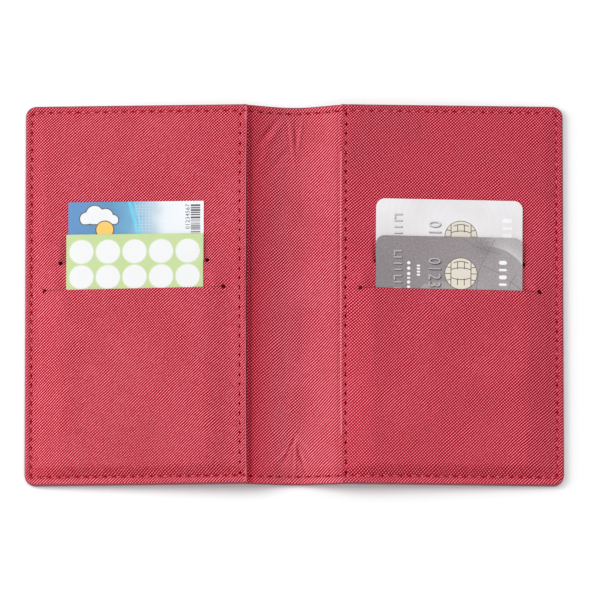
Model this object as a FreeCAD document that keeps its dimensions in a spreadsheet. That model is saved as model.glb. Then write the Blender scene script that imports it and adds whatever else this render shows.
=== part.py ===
import FreeCAD, Part
import Sketcher
import math
import os
from FreeCAD import Vector, Placement, Rotation

# Passport holder wallet, lying open.
# Frame: millimetres, +Z up. The origin is the middle of the resting footprint on the table
# (z = 0). X runs across the open wallet (left cover at -X), +Y is the end the cards slide
# out of. The open wallet is a shallow M in section: the outer edges and the middle of the
# spine rest on the table, and the two fold lines beside the spine stand hinge_height above it.
# Every leaf (cover or half spine) is drawn flat in its own leaf frame, whose origin is the
# fold line on the outer face, and is then tilted about Y to its place.

doc = FreeCAD.newDocument("passport_holder_wallet")

# alias, millimetres (degrees for bank_turn), note
DIMENSIONS = [
    # leaves
    ("cover_length", 81.72, "fold line to outer edge, along the leaf"),
    ("cover_height", 143.0, "Y size of the wallet"),
    ("corner_radius", 4.0, "outer corners of the covers"),
    ("hinge_offset", 17.3, "X of the fold lines beside the spine"),
    ("hinge_height", 4.5, "Z of the outer face at the fold lines"),
    ("leaf_gap", 0.3, "half gap left at a fold line"),
    ("spine_gap", 0.6, "half gap left at the middle of the spine, along the leaf"),
    # layers
    ("leather_thick", 0.8, "outer leather"),
    ("board_thick", 0.4, "stiffener board"),
    ("board_inset", 4.2, "board edge to leather edge"),
    ("lining_thick", 0.4, "inner lining leather"),
    ("panel_thick", 0.5, "pocket panel leather"),
    ("pocket_gap", 0.6, "height of the passport pocket"),
    ("pocket_overcut", 1.0, "passport pocket cut past the fold line, to open its mouth"),
    ("border_width", 4.4, "sewn border of a pocket panel"),
    # card slots
    ("slot_centre_right", 39.8, "fold line to the middle of the card slots"),
    ("slot_centre_left", 41.5, "fold line to the middle of the card slots"),
    ("slot_inner", 56.4, "clear width for a card"),
    ("slot_wall", 0.6, "wall thickness beside a card"),
    ("slot_upper_y_right", 11.3, "Y of the upper slit"),
    ("slot_lower_y_right", 1.1, "Y of the lower slit"),
    ("slot_upper_y_left", 11.95, "Y of the upper slit"),
    ("slot_lower_y_left", 1.8, "Y of the lower slit"),
    ("slot_floor_y", -65.4, "Y of the bottom of the card slots"),
    ("slit_upper_length", 54.4, "between the relief holes"),
    ("slit_lower_length", 66.0, "between the relief holes"),
    ("slit_width", 0.3, "width of a cut slit"),
    ("relief_radius", 0.75, "relief hole at a slit's end"),
    ("slip", 0.04, "sliding clearance above and below a card"),
    ("slot_lining_thick", 0.15, "fabric lining behind a card slot"),
    ("slot_lining_margin", 2.0, "glued margin of the upper slot lining"),
    ("slot_lining_play_x", 0.2, "lower slot lining narrower than the slot"),
    ("slot_lining_play_y", 0.4, "lower slot lining shorter than the slot"),
    # reinforcing tape and thread
    ("tape_width", 4.0, "reinforcing tape behind the free edge of a panel"),
    ("tape_thick", 0.15, "reinforcing tape"),
    ("tape_play", 1.0, "tape shorter than the passport pocket"),
    ("stitch_inset", 2.4, "seam to edge"),
    ("thread_width", 0.5, "sewing thread"),
    ("thread_height", 0.2, "sewing thread above the leather"),
    # bank cards (ISO/IEC 7810 ID-1)
    ("bank_width", 53.98, "short side"),
    ("bank_length", 85.6, "long side"),
    ("bank_thick", 0.76, "thickness"),
    ("bank_corner", 3.18, "corner radius"),
    ("light_shift", -0.45, "light card middle to slot middle"),
    ("dark_shift", -0.6, "dark card middle to slot middle"),
    ("bank_turn", -0.5, "degrees about Z: the bank cards sit slightly askew in their slots"),
    ("light_centre_y", -7.4, "middle of the light bank card"),
    ("dark_centre_y", -21.65, "middle of the dark bank card"),
    ("chip_radius", 5.95, "round chip contact"),
    ("chip_depth", 0.2, "chip contact recess"),
    ("chip_shift_x", 4.35, "chip middle to card middle"),
    ("chip_shift_y", 28.85, "chip middle to card middle"),
    # paper contents
    ("ticket_width", 49.9, "ticket card"),
    ("sheet_width", 50.4, "sticker sheet"),
    ("paper_length", 85.0, "ticket card and sticker sheet"),
    ("paper_thick", 0.3, "room for a paper item"),
    ("sticker_sheet_thick", 0.22, "sticker sheet without stickers"),
    ("dot_radius", 4.45, "round sticker"),
    ("dot_thick", 0.08, "round sticker"),
    ("dot_pitch_x", 9.79, "sticker columns"),
    ("dot_pitch_y", 9.55, "sticker rows"),
    ("dot_first_x", 19.57, "outermost sticker column to sheet middle"),
    ("dot_top_inset", 6.6, "first sticker row to sheet top"),
    ("ticket_shift", -0.67, "ticket middle to slot middle"),
    ("sheet_shift", -0.26, "sticker sheet middle to slot middle"),
    ("ticket_centre_y", -7.7, "middle of the ticket card"),
    ("sheet_centre_y", -20.1, "middle of the sticker sheet"),
]
ALIASES = {alias for alias, _, _ in DIMENSIONS}
STICKER_ROWS = 8
STICKER_COLUMNS = 5

EDGE_REACH = 0.01        # how far an upright edge may stand from its corner point
BANK_EDGE_REACH = 0.6    # wider, since bank_turn moves the card's corners

sheet = doc.addObject("Spreadsheet::Sheet", "params")
sheet.set("A1", "dimension")
sheet.set("B1", "mm")
for row, (alias, value, note) in enumerate(DIMENSIONS, start=2):
    sheet.set(f"A{row}", note)
    sheet.set(f"B{row}", str(value))
    sheet.setAlias(f"B{row}", alias)
doc.recompute()

# Shared lengths, as expressions over the aliases. Levels are heights above the outer face.
SPINE = "sqrt(hinge_offset * hinge_offset + hinge_height * hinge_height)"
BOARD_TOP = "leather_thick + board_thick"
LINING_TOP = f"{BOARD_TOP} + lining_thick"
BORDER_TOP = f"{LINING_TOP} + panel_thick"
PANEL_LOW = f"{LINING_TOP} + pocket_gap"
PANEL_TOP = f"{PANEL_LOW} + panel_thick"
PASSPORT_X = "cover_length - border_width - panel_thick"
PASSPORT_Y = "cover_height - 2 * border_width - 2 * panel_thick"
SEAM_FAR_Y = "cover_height / 2 - stitch_inset - thread_width / 2"
SEAM_NEAR_Y = "-1 * cover_height / 2 + stitch_inset - thread_width / 2"


def dimension(alias):
    return float(sheet.get(alias))


COVER_TILT = math.degrees(math.asin(dimension("hinge_height") / dimension("cover_length")))
SPINE_TILT = math.degrees(math.atan2(dimension("hinge_height"), dimension("hinge_offset")))


class Side:
    """One half of the wallet: its leaves, and where its card slots lie."""

    def __init__(self, name, sign, item_thick):
        self.name = name
        self.sign = sign
        self.cover = "cover_" + name
        self.spine = "spine_" + name
        self.slot_x = self.out("slot_centre_" + name)
        self.upper_y = "slot_upper_y_" + name
        self.lower_y = "slot_lower_y_" + name
        # the stack above the panel: first item, strip between the slits, second item, raised top
        self.first_low = f"{PANEL_TOP} + slip"
        self.strip_low = f"{self.first_low} + {item_thick} + slip"
        self.strip_top = f"{self.strip_low} + panel_thick"
        self.second_low = f"{self.strip_top} + slip"
        self.raised_low = f"{self.second_low} + {item_thick} + slip"
        self.raised_top = f"{self.raised_low} + panel_thick"

    def out(self, distance):
        """Leaf X of a distance measured from the fold line towards the outer edge."""
        return f"{self.sign} * ({distance})"


RIGHT = Side("right", 1, "bank_thick")
LEFT = Side("left", -1, "paper_thick")

parts = {}


def keep(obj, node, leaf):
    """Labels a finished piece, tilts it with its leaf and lists it for export."""
    side = 1 if leaf.endswith("right") else -1
    tilt = COVER_TILT if leaf.startswith("cover") else -SPINE_TILT
    obj.Label = node
    obj.Placement = Placement(
        Vector(side * dimension("hinge_offset"), 0, dimension("hinge_height")),
        Rotation(Vector(0, 1, 0), side * tilt))
    parts[node] = obj


# --- expressions ---

def qualified(text):
    """Writes each alias in an expression with the sheet's name in front of it."""
    result, word = "", ""
    for letter in text + " ":
        if letter.isalnum() or letter == "_":
            word += letter
        else:
            result += ("params." + word) if word in ALIASES else word
            result += letter
            word = ""
    return result.strip()


def bind(obj, path, text):
    obj.setExpression(path, qualified(text))


def bind_place(obj, path, place):
    """Binds x, y and z. The + 0 makes each one a sum, even a bare name or number."""
    for axis, text in zip("xyz", place):
        bind(obj, f"{path}.Base.{axis}", text + " + 0")


# --- sketches: drawn at a starting size, then driven by their expressions ---

def new_sketch(body, name, place, turn):
    """A sketch parallel to the leaf, with its origin at place and turned about Z."""
    sketch = body.newObject("Sketcher::SketchObject", name)
    flat = next(f for f in body.Origin.OriginFeatures if f.Role == "XY_Plane")
    sketch.AttachmentSupport = [(flat, "")]
    sketch.MapMode = "FlatFace"
    sketch.AttachmentOffset = Placement(Vector(0, 0, 0), Rotation(Vector(0, 0, 1), turn))
    bind_place(sketch, "AttachmentOffset", place)
    return sketch


def constrain(sketch, text, *constraint):
    """Adds a dimension and binds it to an expression."""
    index = sketch.addConstraint(Sketcher.Constraint(*constraint))
    bind(sketch, f"Constraints[{index}]", text)


def rectangle(body, name, size, place, turn=0.0):
    """A rectangle centred on place; size is its X and Y size."""
    sketch = new_sketch(body, name, place, turn)
    corners = [Vector(-5, -5, 0), Vector(5, -5, 0), Vector(5, 5, 0), Vector(-5, 5, 0)]
    for i in range(4):
        sketch.addGeometry(Part.LineSegment(corners[i], corners[(i + 1) % 4]), False)
    for i in range(4):
        sketch.addConstraint(Sketcher.Constraint("Coincident", i, 2, (i + 1) % 4, 1))
    for kind, line in (("Horizontal", 0), ("Horizontal", 2), ("Vertical", 1), ("Vertical", 3)):
        sketch.addConstraint(Sketcher.Constraint(kind, line))
    sketch.addConstraint(Sketcher.Constraint("Symmetric", 0, 1, 1, 2, -1, 1))
    constrain(sketch, size[0], "DistanceX", 0, 1, 0, 2, 10.0)
    constrain(sketch, size[1], "DistanceY", 1, 1, 1, 2, 10.0)
    return sketch


def circle(body, name, radius, place, turn=0.0, offset=None):
    """A circle on place, or offset from it along the sketch's own axes."""
    sketch = new_sketch(body, name, place, turn)
    if offset is None:
        sketch.addGeometry(Part.Circle(Vector(0, 0, 0), Vector(0, 0, 1), 3.0), False)
        sketch.addConstraint(Sketcher.Constraint("Coincident", 0, 3, -1, 1))
    else:
        sketch.addGeometry(Part.Circle(Vector(4, 28, 0), Vector(0, 0, 1), 3.0), False)
        constrain(sketch, offset[0], "DistanceX", -1, 1, 0, 3, 4.0)
        constrain(sketch, offset[1], "DistanceY", -1, 1, 0, 3, 28.0)
    constrain(sketch, radius, "Radius", 0, 3.0)
    return sketch


# --- solid features ---

def extrude(kind, body, name, sketch, length):
    feature = body.newObject(kind, name)
    feature.Profile = sketch
    feature.Type = "Length"
    bind(feature, "Length", length)
    body.Tip = feature
    doc.recompute()
    return feature


def pad(body, name, sketch, height):
    return extrude("PartDesign::Pad", body, name, sketch, height)


def pocket(body, name, sketch, depth):
    """Cuts downwards from the sketch, and stops the script if nothing was cut."""
    before = body.Shape.Volume
    extrude("PartDesign::Pocket", body, name, sketch, depth)
    if not body.Shape.Volume < before - 1e-6:
        raise RuntimeError(name + " cut nothing")


def round_corners(body, name, base, radius, corners, reach=EDGE_REACH):
    """Rounds the upright edges that stand on the given corner points of the leaf frame."""
    picked = []
    for i, edge in enumerate(base.Shape.Edges, start=1):
        start, end = edge.Vertexes[0].Point, edge.Vertexes[-1].Point
        upright = (abs(start.x - end.x) < 0.01 and abs(start.y - end.y) < 0.01
                   and abs(start.z - end.z) > 0.05)
        if upright and any(abs(start.x - x) < reach and abs(start.y - y) < reach
                           for x, y in corners):
            picked.append(f"Edge{i}")
    if not picked:
        raise RuntimeError(name + " found no corner")
    fillet = body.newObject("PartDesign::Fillet", name)
    fillet.Base = (base, picked)
    bind(fillet, "Radius", radius)
    body.Tip = fillet
    doc.recompute()


def cover_corners(side):
    """The two outer corners of a cover, in its leaf frame."""
    x, y = side.sign * dimension("cover_length"), dimension("cover_height") / 2
    return [(x, y), (x, -y)]


def flat_piece(node, leaf, size, thick, place, corners=None):
    """One flat pad centred on place, with the given corners rounded."""
    body = doc.addObject("PartDesign::Body", node)
    outline = rectangle(body, node + "_outline", size, place)
    base = pad(body, node + "_pad", outline, thick)
    if corners:
        round_corners(body, node + "_corners", base, "corner_radius", corners)
    keep(body, node, leaf)


def box(name, size, corner):
    """A box grown from its lowest corner."""
    solid = doc.addObject("Part::Box", name)
    for path, text in zip(("Length", "Width", "Height"), size):
        bind(solid, path, text)
    bind_place(solid, "Placement", corner)
    return solid


# --- leather, board and lining ---

def cover_layer(side, node, thick, low):
    """A layer over the whole cover."""
    flat_piece(node, side.cover, ("cover_length - leaf_gap", "cover_height"), thick,
               (side.out("(cover_length + leaf_gap) / 2"), "0", low), cover_corners(side))


def spine_layer(side, node, thick, low):
    """A layer over the half spine, which runs inwards from the fold line."""
    flat_piece(node, side.spine, (f"{SPINE} - leaf_gap - spine_gap", "cover_height"), thick,
               (side.out(f"-1 * ({SPINE} + leaf_gap - spine_gap) / 2"), "0", low))


def stiffener_board(side):
    flat_piece("stiffener_board_" + side.name, side.cover,
               ("cover_length - 2 * board_inset", "cover_height - 2 * board_inset"),
               "board_thick", (side.out("cover_length / 2"), "0", "leather_thick"))


# --- pocket panel ---

def pocket_panel(side):
    """One sheet, sewn down along three sides. It stands pocket_gap above the lining inside
    the border, and is raised again over the cards below each slit."""
    node = "pocket_panel_" + side.name
    upper_y, lower_y = side.upper_y, side.lower_y
    slot_outer = "slot_inner + 2 * slot_wall"
    raised_y = f"{lower_y} - slot_floor_y"
    strip_y = f"{upper_y} - {lower_y}"
    strip_middle = f"({upper_y} + {lower_y}) / 2"
    body = doc.addObject("PartDesign::Body", node)

    border = rectangle(body, node + "_border", ("cover_length", "cover_height"),
                       (side.out("cover_length / 2"), "0", LINING_TOP))
    base = pad(body, node + "_border_pad", border, "panel_thick")
    round_corners(body, node + "_corners", base, "corner_radius", cover_corners(side))

    # solid blocks on the lining: name, X and Y size, middle X and Y, top
    for name, size, middle, top in (
        ("_field", ("cover_length - border_width", "cover_height - 2 * border_width"),
         (side.out("(cover_length - border_width) / 2"), "0"), PANEL_TOP),
        ("_raised", (slot_outer, f"{raised_y} + slot_wall"),
         (side.slot_x, f"({lower_y} + slot_floor_y - slot_wall) / 2"), side.raised_top),
        ("_strip", (slot_outer, strip_y), (side.slot_x, strip_middle), side.strip_top),
    ):
        block = rectangle(body, node + name, size, (*middle, LINING_TOP))
        pad(body, node + name + "_pad", block, f"{top} - ({LINING_TOP})")

    # hollows down to the lining: feature, sketch, X and Y size, middle X and Y, ceiling
    for name, outline, size, middle, ceiling in (
        ("_passport_pocket", "_passport", (f"{PASSPORT_X} + pocket_overcut", PASSPORT_Y),
         (side.out(f"({PASSPORT_X} - pocket_overcut) / 2"), "0"), PANEL_LOW),
        ("_raised_hollow", "_raised_inside", ("slot_inner", raised_y),
         (side.slot_x, f"({lower_y} + slot_floor_y) / 2"), side.raised_low),
        ("_strip_hollow", "_strip_inside", ("slot_inner", strip_y),
         (side.slot_x, strip_middle), side.strip_low),
    ):
        hollow = rectangle(body, node + outline, size, (*middle, ceiling))
        pocket(body, node + name, hollow, f"{ceiling} - ({LINING_TOP})")

    # the lower slit runs past the card to its relief holes
    run = "(slit_lower_length - slot_inner) / 2 - slot_wall"
    for tag, end in (("a", 1), ("b", -1)):
        run_middle = f"{side.slot_x} + {end} * (slit_lower_length / 2 - ({run}) / 2)"
        slit = rectangle(body, f"{node}_slit_line_{tag}", (run, "slit_width"),
                         (run_middle, lower_y, PANEL_TOP))
        pocket(body, f"{node}_slit_{tag}", slit, "panel_thick")
        for level, y in (("lower", lower_y), ("upper", upper_y)):
            hole = circle(body, f"{node}_relief_{level}_ring_{tag}", "relief_radius",
                          (f"{side.slot_x} + {end} * slit_{level}_length / 2", y,
                           side.raised_top))
            pocket(body, f"{node}_relief_{level}_{tag}", hole,
                   f"{side.raised_top} - ({LINING_TOP})")
    keep(body, node, side.cover)


def flap_edge_tape(side):
    """Tape under the free edge of the panel."""
    flat_piece("flap_edge_tape_" + side.name, side.cover,
               ("tape_width", f"{PASSPORT_Y} - tape_play"), "tape_thick",
               (side.out("tape_width / 2"), "0", f"{PANEL_LOW} - tape_thick"))


def card_slot_linings(side):
    # between the first card and the passport, reaching past the upper slit by its margin
    flat_piece("card_slot_lining_upper_" + side.name, side.cover,
               ("slot_inner + 2 * slot_lining_margin",
                f"{side.upper_y} - slot_floor_y + slot_lining_margin"),
               "slot_lining_thick",
               (side.slot_x, f"({side.upper_y} + slot_floor_y + slot_lining_margin) / 2",
                f"{PANEL_LOW} - slot_lining_thick"))
    # between the two cards, at mid thickness of the strip
    flat_piece("card_slot_lining_lower_" + side.name, side.cover,
               ("slot_inner - slot_lining_play_x",
                f"{side.lower_y} - slot_floor_y - slot_lining_play_y"),
               "slot_lining_thick",
               (side.slot_x, f"({side.lower_y} + slot_floor_y) / 2",
                f"{side.strip_low} + panel_thick / 2 - slot_lining_thick / 2"))


# --- seams ---

def end_runs(base, length, low_x, low_z):
    """The two thread runs along X, at the +Y and -Y ends of a leaf."""
    return [box(base + end, (length, "thread_width", "thread_height"), (low_x, y, low_z))
            for end, y in (("_far", SEAM_FAR_Y), ("_near", SEAM_NEAR_Y))]


def cover_thread(side):
    """Thread on the sewn border of the panel: two short runs and one long run."""
    base = "perimeter_thread_" + side.name
    reach = "cover_length - stitch_inset + thread_width / 2"
    low_x = "leaf_gap" if side.sign > 0 else f"-1 * ({reach})"
    runs = end_runs(base, f"{reach} - leaf_gap", low_x, BORDER_TOP)
    runs.append(box(base + "_side",
                    ("thread_width", "cover_height - 2 * stitch_inset + thread_width",
                     "thread_height"),
                    (side.out("cover_length - stitch_inset") + " - thread_width / 2",
                     SEAM_NEAR_Y, BORDER_TOP)))
    seam = doc.addObject("Part::MultiFuse", base)
    seam.Shapes = runs
    keep(seam, base, side.cover)


def spine_thread(side):
    """Thread along the two ends of the half spine."""
    base = "perimeter_thread_spine_" + side.name
    low_x = f"-1 * ({SPINE} - spine_gap)" if side.sign > 0 else "leaf_gap"
    seam = doc.addObject("Part::Compound", base)
    seam.Links = end_runs(base, f"{SPINE} - leaf_gap - spine_gap", low_x,
                          "leather_thick + lining_thick")
    keep(seam, base, side.spine)


def flap_thread(side):
    """Thread along the free edge of the panel."""
    base = "flap_thread_" + side.name
    run = box(base + "_box", ("thread_width", PASSPORT_Y, "thread_height"),
              (side.out("stitch_inset") + " - thread_width / 2",
               "-1 * cover_height / 2 + border_width + panel_thick", PANEL_TOP))
    seam = doc.addObject("Part::Compound", base)
    seam.Links = [run]
    keep(seam, base, side.cover)


# --- contents ---

def bank_card(tone, low):
    """A bank card in a right slot, with a recess for its chip contact, and the contact."""
    node, chip = "bank_card_" + tone, "chip_contact_" + tone
    shift, centre_y = tone + "_shift", tone + "_centre_y"
    card_x = f"slot_centre_right + {shift}"
    turn = dimension("bank_turn")
    chip_offset = ("chip_shift_x", "chip_shift_y")

    card = doc.addObject("PartDesign::Body", node)
    outline = rectangle(card, node + "_outline", ("bank_width", "bank_length"),
                        (card_x, centre_y, low), turn)
    base = pad(card, node + "_pad", outline, "bank_thick")
    middle_x = dimension("slot_centre_right") + dimension(shift)
    middle_y = dimension(centre_y)
    half_x, half_y = dimension("bank_width") / 2, dimension("bank_length") / 2
    corners = [(middle_x + i * half_x, middle_y + j * half_y) for j in (-1, 1) for i in (-1, 1)]
    round_corners(card, node + "_corners", base, "bank_corner", corners, BANK_EDGE_REACH)
    recess = circle(card, node + "_chip_ring", "chip_radius",
                    (card_x, centre_y, f"{low} + bank_thick"), turn, chip_offset)
    pocket(card, node + "_chip_recess", recess, "chip_depth")
    keep(card, node, RIGHT.cover)

    contact = doc.addObject("PartDesign::Body", chip)
    ring = circle(contact, chip + "_ring", "chip_radius",
                  (card_x, centre_y, f"{low} + bank_thick - chip_depth"), turn, chip_offset)
    pad(contact, chip + "_pad", ring, "chip_depth")
    keep(contact, chip, RIGHT.cover)


def ticket_card():
    flat_piece("ticket_card", LEFT.cover, ("ticket_width", "paper_length"), "paper_thick",
               (LEFT.out("slot_centre_left + ticket_shift"), "ticket_centre_y",
                LEFT.first_low))


def sticker_sheet():
    """The backing sheet and its grid of round stickers, counted from -X and the +Y end."""
    sheet_x = LEFT.out("slot_centre_left + sheet_shift")
    flat_piece("sticker_sheet", LEFT.cover, ("sheet_width", "paper_length"),
               "sticker_sheet_thick", (sheet_x, "sheet_centre_y", LEFT.second_low))
    dots = doc.addObject("Part::Compound", "sticker_dots")
    first_y = "sheet_centre_y + paper_length / 2 - dot_top_inset"
    discs = []
    for i in range(STICKER_ROWS):
        for j in range(STICKER_COLUMNS):
            disc = doc.addObject("Part::Cylinder", f"sticker_{i}_{j}")
            bind(disc, "Radius", "dot_radius")
            bind(disc, "Height", "dot_thick")
            bind_place(disc, "Placement", (f"{sheet_x} - dot_first_x + {j} * dot_pitch_x",
                                           f"{first_y} - {i} * dot_pitch_y",
                                           f"{LEFT.second_low} + sticker_sheet_thick"))
            discs.append(disc)
    dots.Links = discs
    keep(dots, "sticker_dots", LEFT.cover)


# --- build ---

for side in (RIGHT, LEFT):
    cover_layer(side, "outer_cover_" + side.name, "leather_thick", "0")
    spine_layer(side, "outer_spine_" + side.name, "leather_thick", "0")
    stiffener_board(side)
    cover_layer(side, "inner_lining_" + side.name, "lining_thick", BOARD_TOP)
    spine_layer(side, "inner_lining_spine_" + side.name, "lining_thick", "leather_thick")
    pocket_panel(side)
    flap_edge_tape(side)
    card_slot_linings(side)
    cover_thread(side)
    spine_thread(side)
    flap_thread(side)

bank_card("light", RIGHT.first_low)
bank_card("dark", RIGHT.second_low)
ticket_card()
sticker_sheet()
doc.recompute()

# nothing is written unless every object is sound
for obj in doc.Objects:
    if "Invalid" in obj.State or "Error" in obj.State:
        raise RuntimeError(f"{obj.Name} is {obj.State}")
for node, obj in parts.items():
    shape = obj.Shape
    if shape.isNull() or not shape.isValid() or shape.Volume <= 0:
        raise RuntimeError(node + " has no sound shape")

os.makedirs("parts", exist_ok=True)
for node, obj in sorted(parts.items()):
    obj.Shape.exportStep(os.path.join("parts", node + ".step"))
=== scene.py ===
"""An open bifold leather wallet lying on its outer side, with cards, a ticket and stickers.

The spine runs along Y with its middle at x = 0, and the covers fall away to +X (right) and
-X (left). "Far" is +Y, "near" is -Y and +Z is up. Wallet sizes are in millimetres.
"""
import bpy, bmesh, math, random
import numpy as np
from mathutils import Vector, Matrix

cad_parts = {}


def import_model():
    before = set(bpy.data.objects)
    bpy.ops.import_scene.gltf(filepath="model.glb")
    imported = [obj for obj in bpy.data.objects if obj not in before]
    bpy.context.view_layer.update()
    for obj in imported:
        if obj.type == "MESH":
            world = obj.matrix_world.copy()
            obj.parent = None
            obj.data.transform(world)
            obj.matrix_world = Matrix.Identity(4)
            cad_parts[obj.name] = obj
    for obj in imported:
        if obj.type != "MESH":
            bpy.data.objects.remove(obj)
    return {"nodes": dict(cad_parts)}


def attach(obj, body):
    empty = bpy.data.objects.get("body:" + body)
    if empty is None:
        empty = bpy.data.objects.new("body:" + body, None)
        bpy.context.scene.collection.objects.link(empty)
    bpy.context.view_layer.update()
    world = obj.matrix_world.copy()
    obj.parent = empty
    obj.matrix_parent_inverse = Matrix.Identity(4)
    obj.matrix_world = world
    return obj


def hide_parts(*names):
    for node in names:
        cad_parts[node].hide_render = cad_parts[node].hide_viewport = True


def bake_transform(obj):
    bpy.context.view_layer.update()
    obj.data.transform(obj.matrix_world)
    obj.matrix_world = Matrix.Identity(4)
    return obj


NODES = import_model()["nodes"]
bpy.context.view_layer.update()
random.seed(7)
MM = 0.001

# ---------------------------------------------------------------- sizes
# Tables with keys 1 and -1 hold the right and the left cover.
SIDES = ((1, "right"), (-1, "left"))
FOLD_X, FOLD_Z = 17.3, 4.5                 # place of each fold line
COVER = 81.72                              # fold line to outer edge
HALF = 143.0 / 2                           # half the wallet along Y
TILT = math.asin(FOLD_Z / COVER)           # fall of a cover
SPINE_SLOPE = math.atan2(FOLD_Z, FOLD_X)   # climb of the spine to its fold
SPINE = math.hypot(FOLD_X, FOLD_Z)         # middle of the spine to a fold line
FULL = SPINE + COVER
CORNER = 4.0                               # outer corner radius
SEAM_INSET = 2.4                           # seam to edge
NEAR_INSET = 0.6                           # the near seam runs this much further in
PITCH = 3.6                                # stitch length
PAINTED = 0.42                             # width of the painted edge

PANEL_THICK = 0.5
LINING_TOP = 1.6
PANEL_TOP = 2.7
SLOT = {1: 39.8, -1: 41.5}                 # fold line to the middle of the card slots
UPPER_SLIT = {1: 11.3, -1: 11.95}
LOWER_SLIT = {1: 1.1, -1: 1.8}
SLIT_HALF = 33.0                           # half length of the lower slits
UPPER_ENDS = {1: (-28.6, 28.2), -1: (-27.6, 27.6)}
SLIT_OPEN = 0.14
SLANT = -0.0105                            # both slits drop slightly towards the outer edge
OVERHANG = {1: 0.45, -1: -0.24}            # free edge past the fold line; the left stops short
FLAP_SEAM = {1: 1.75, -1: 2.35}
GROOVE = {1: (0.30, 0.8), -1: (0.2, 0.5)}  # depth and width of the flap seam's groove
POCKET_FLOOR = -65.9
RELIEF_UPPER = 27.0                        # relief holes of the upper slits from the slot middle
RELIEF_RADIUS = 0.78

ITEM_GAP = 0.04
ITEM_THICK = {1: 0.76, -1: 0.3}
STICKER_THICK = 0.22
CARD_ENDS = {1: (-28.0, 27.4), -1: (-25.9, 25.3)}   # card sides from the slot middle
CARD_RUN = {1: 11.4, -1: 10.4}             # width over which the leather falls beside a card
END_RUN = {1: 1.25, -1: 1.9}               # the same at the ends of the upper slit


def levels(thick):
    """Panel heights over one item and over two."""
    strip = PANEL_TOP + ITEM_GAP + thick + ITEM_GAP + PANEL_THICK
    return strip, strip + ITEM_GAP + thick + ITEM_GAP + PANEL_THICK


LEVELS = {side: levels(thick) for side, thick in ITEM_THICK.items()}


# ---------------------------------------------------------------- curves
def smooth_step(value):
    value = np.clip(value, 0, 1)
    return value * value * value * (value * (6 * value - 15) + 10)


def taut(value):
    """Rise of leather drawn nearly straight, only a little rounded at both ends."""
    value = np.clip(value, 0, 1)
    return 0.35 * value + 0.65 * value * value * (3 - 2 * value)


def bell(offset, width):
    return np.exp(-(offset / width) ** 2)


def value_noise(x, y, seed, scale):
    """Smooth noise in -1..1, made from a fixed table."""
    table = np.random.RandomState(seed).rand(64, 64) * 2 - 1
    x, y = np.asarray(x) / scale, np.asarray(y) / scale
    i, j = np.floor(x).astype(int), np.floor(y).astype(int)
    part_x, part_y = x - i, y - j
    part_x = part_x * part_x * (3 - 2 * part_x)
    part_y = part_y * part_y * (3 - 2 * part_y)

    def row(j):
        return table[i % 64, j % 64] * (1 - part_x) + table[(i + 1) % 64, j % 64] * part_x
    return row(j) * (1 - part_y) + row(j + 1) * part_y


# ---------------------------------------------------------------- placement maps
def cover_map(side):
    """Maps distance out from the fold line, y and height above the outer face to metres."""
    def place(out, y, height):
        out, y, height = map(np.asarray, (out, y, height))
        x = side * (FOLD_X + out * math.cos(TILT) + height * math.sin(TILT))
        z = FOLD_Z - out * math.sin(TILT) + height * math.cos(TILT)
        return np.stack([x, y + 0 * x, z], -1) * MM
    return place


def wallet_section():
    """Section of the open wallet with soft bends: distance along it, x, z and slope angle."""
    along = np.linspace(-FULL, FULL, 40001)
    distance = np.abs(along)
    slope = (SPINE_SLOPE * smooth_step(distance / 7.0)
             - (SPINE_SLOPE + TILT) * smooth_step((distance - (SPINE - 1.2)) / 3.4))
    slope = np.where(along < 0, -slope, slope)
    step = along[1] - along[0]

    def integral(rate):
        return np.concatenate([[0], np.cumsum((rate[1:] + rate[:-1]) / 2 * step)])
    x, z = integral(np.cos(slope)), integral(np.sin(slope))
    x -= np.interp(0, along, x)
    # the outer ends of the covers sit exactly on the CAD covers
    z -= z[-1]
    x *= (FOLD_X + COVER * math.cos(TILT)) / x[-1]
    return along, x, z, slope


SECTION, SECTION_X, SECTION_Z, SECTION_SLOPE = wallet_section()


def section_map(along, y, height):
    """Maps signed distance along the section, y and height to metres."""
    along, y, height = map(np.asarray, (along, y, height))
    x = np.interp(along, SECTION, SECTION_X)
    z = np.interp(along, SECTION, SECTION_Z)
    slope = np.interp(along, SECTION, SECTION_SLOPE)
    # the limp spine draws in a little along Y
    y = y * (1 - 0.0045 * np.clip(1 - (along / 16.0) ** 2, 0, 1))
    return np.stack([x - height * np.sin(slope), y + 0 * x, z + height * np.cos(slope)], -1) * MM


def panel_map(side):
    """Cover map whose free edge is shifted over the fold between the sewn ends."""
    place = cover_map(side)

    def shifted(out, y, height):
        out, y = np.asarray(out, float), np.asarray(y, float)
        ends = np.clip(1 - (y / 69.5) ** 4, 0, 1)
        return place(out - OVERHANG[side] * bell(out, 4.0) * ends, y, height)
    return shifted


def edge_distance(out, y, reach):
    """Distance to the rounded outline of a piece that ends at reach."""
    from_side, from_end = reach - out, HALF - np.abs(y)
    past_x, past_y = CORNER - from_side, CORNER - from_end
    corner = (past_x > 0) & (past_y > 0)
    return np.where(corner, CORNER - np.hypot(past_x, past_y), np.minimum(from_side, from_end))


def seam_offset(out, y, reach):
    """Distance to the outline, and the same measured from the seam."""
    distance = edge_distance(out, y, reach)
    from_side, from_end = reach - out, HALF - np.abs(y)
    near = NEAR_INSET * smooth_step((from_side - from_end) / 4.0) * (np.asarray(y) < 0)
    return distance, distance - (SEAM_INSET + near)


def round_corner(out, y, reach):
    """Moves grid points of the square corner onto the rounded one."""
    past_x = (out - (reach - CORNER)) / CORNER
    past_y = (np.abs(y) - (HALF - CORNER)) / CORNER
    corner = (past_x > 0) & (past_y > 0)
    scale = np.maximum(past_x, past_y) * CORNER / (np.hypot(past_x, past_y) + 1e-12)
    return (np.where(corner, reach - CORNER + past_x * scale, out),
            np.where(corner, np.sign(y) * (HALF - CORNER + past_y * scale), y))


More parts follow.
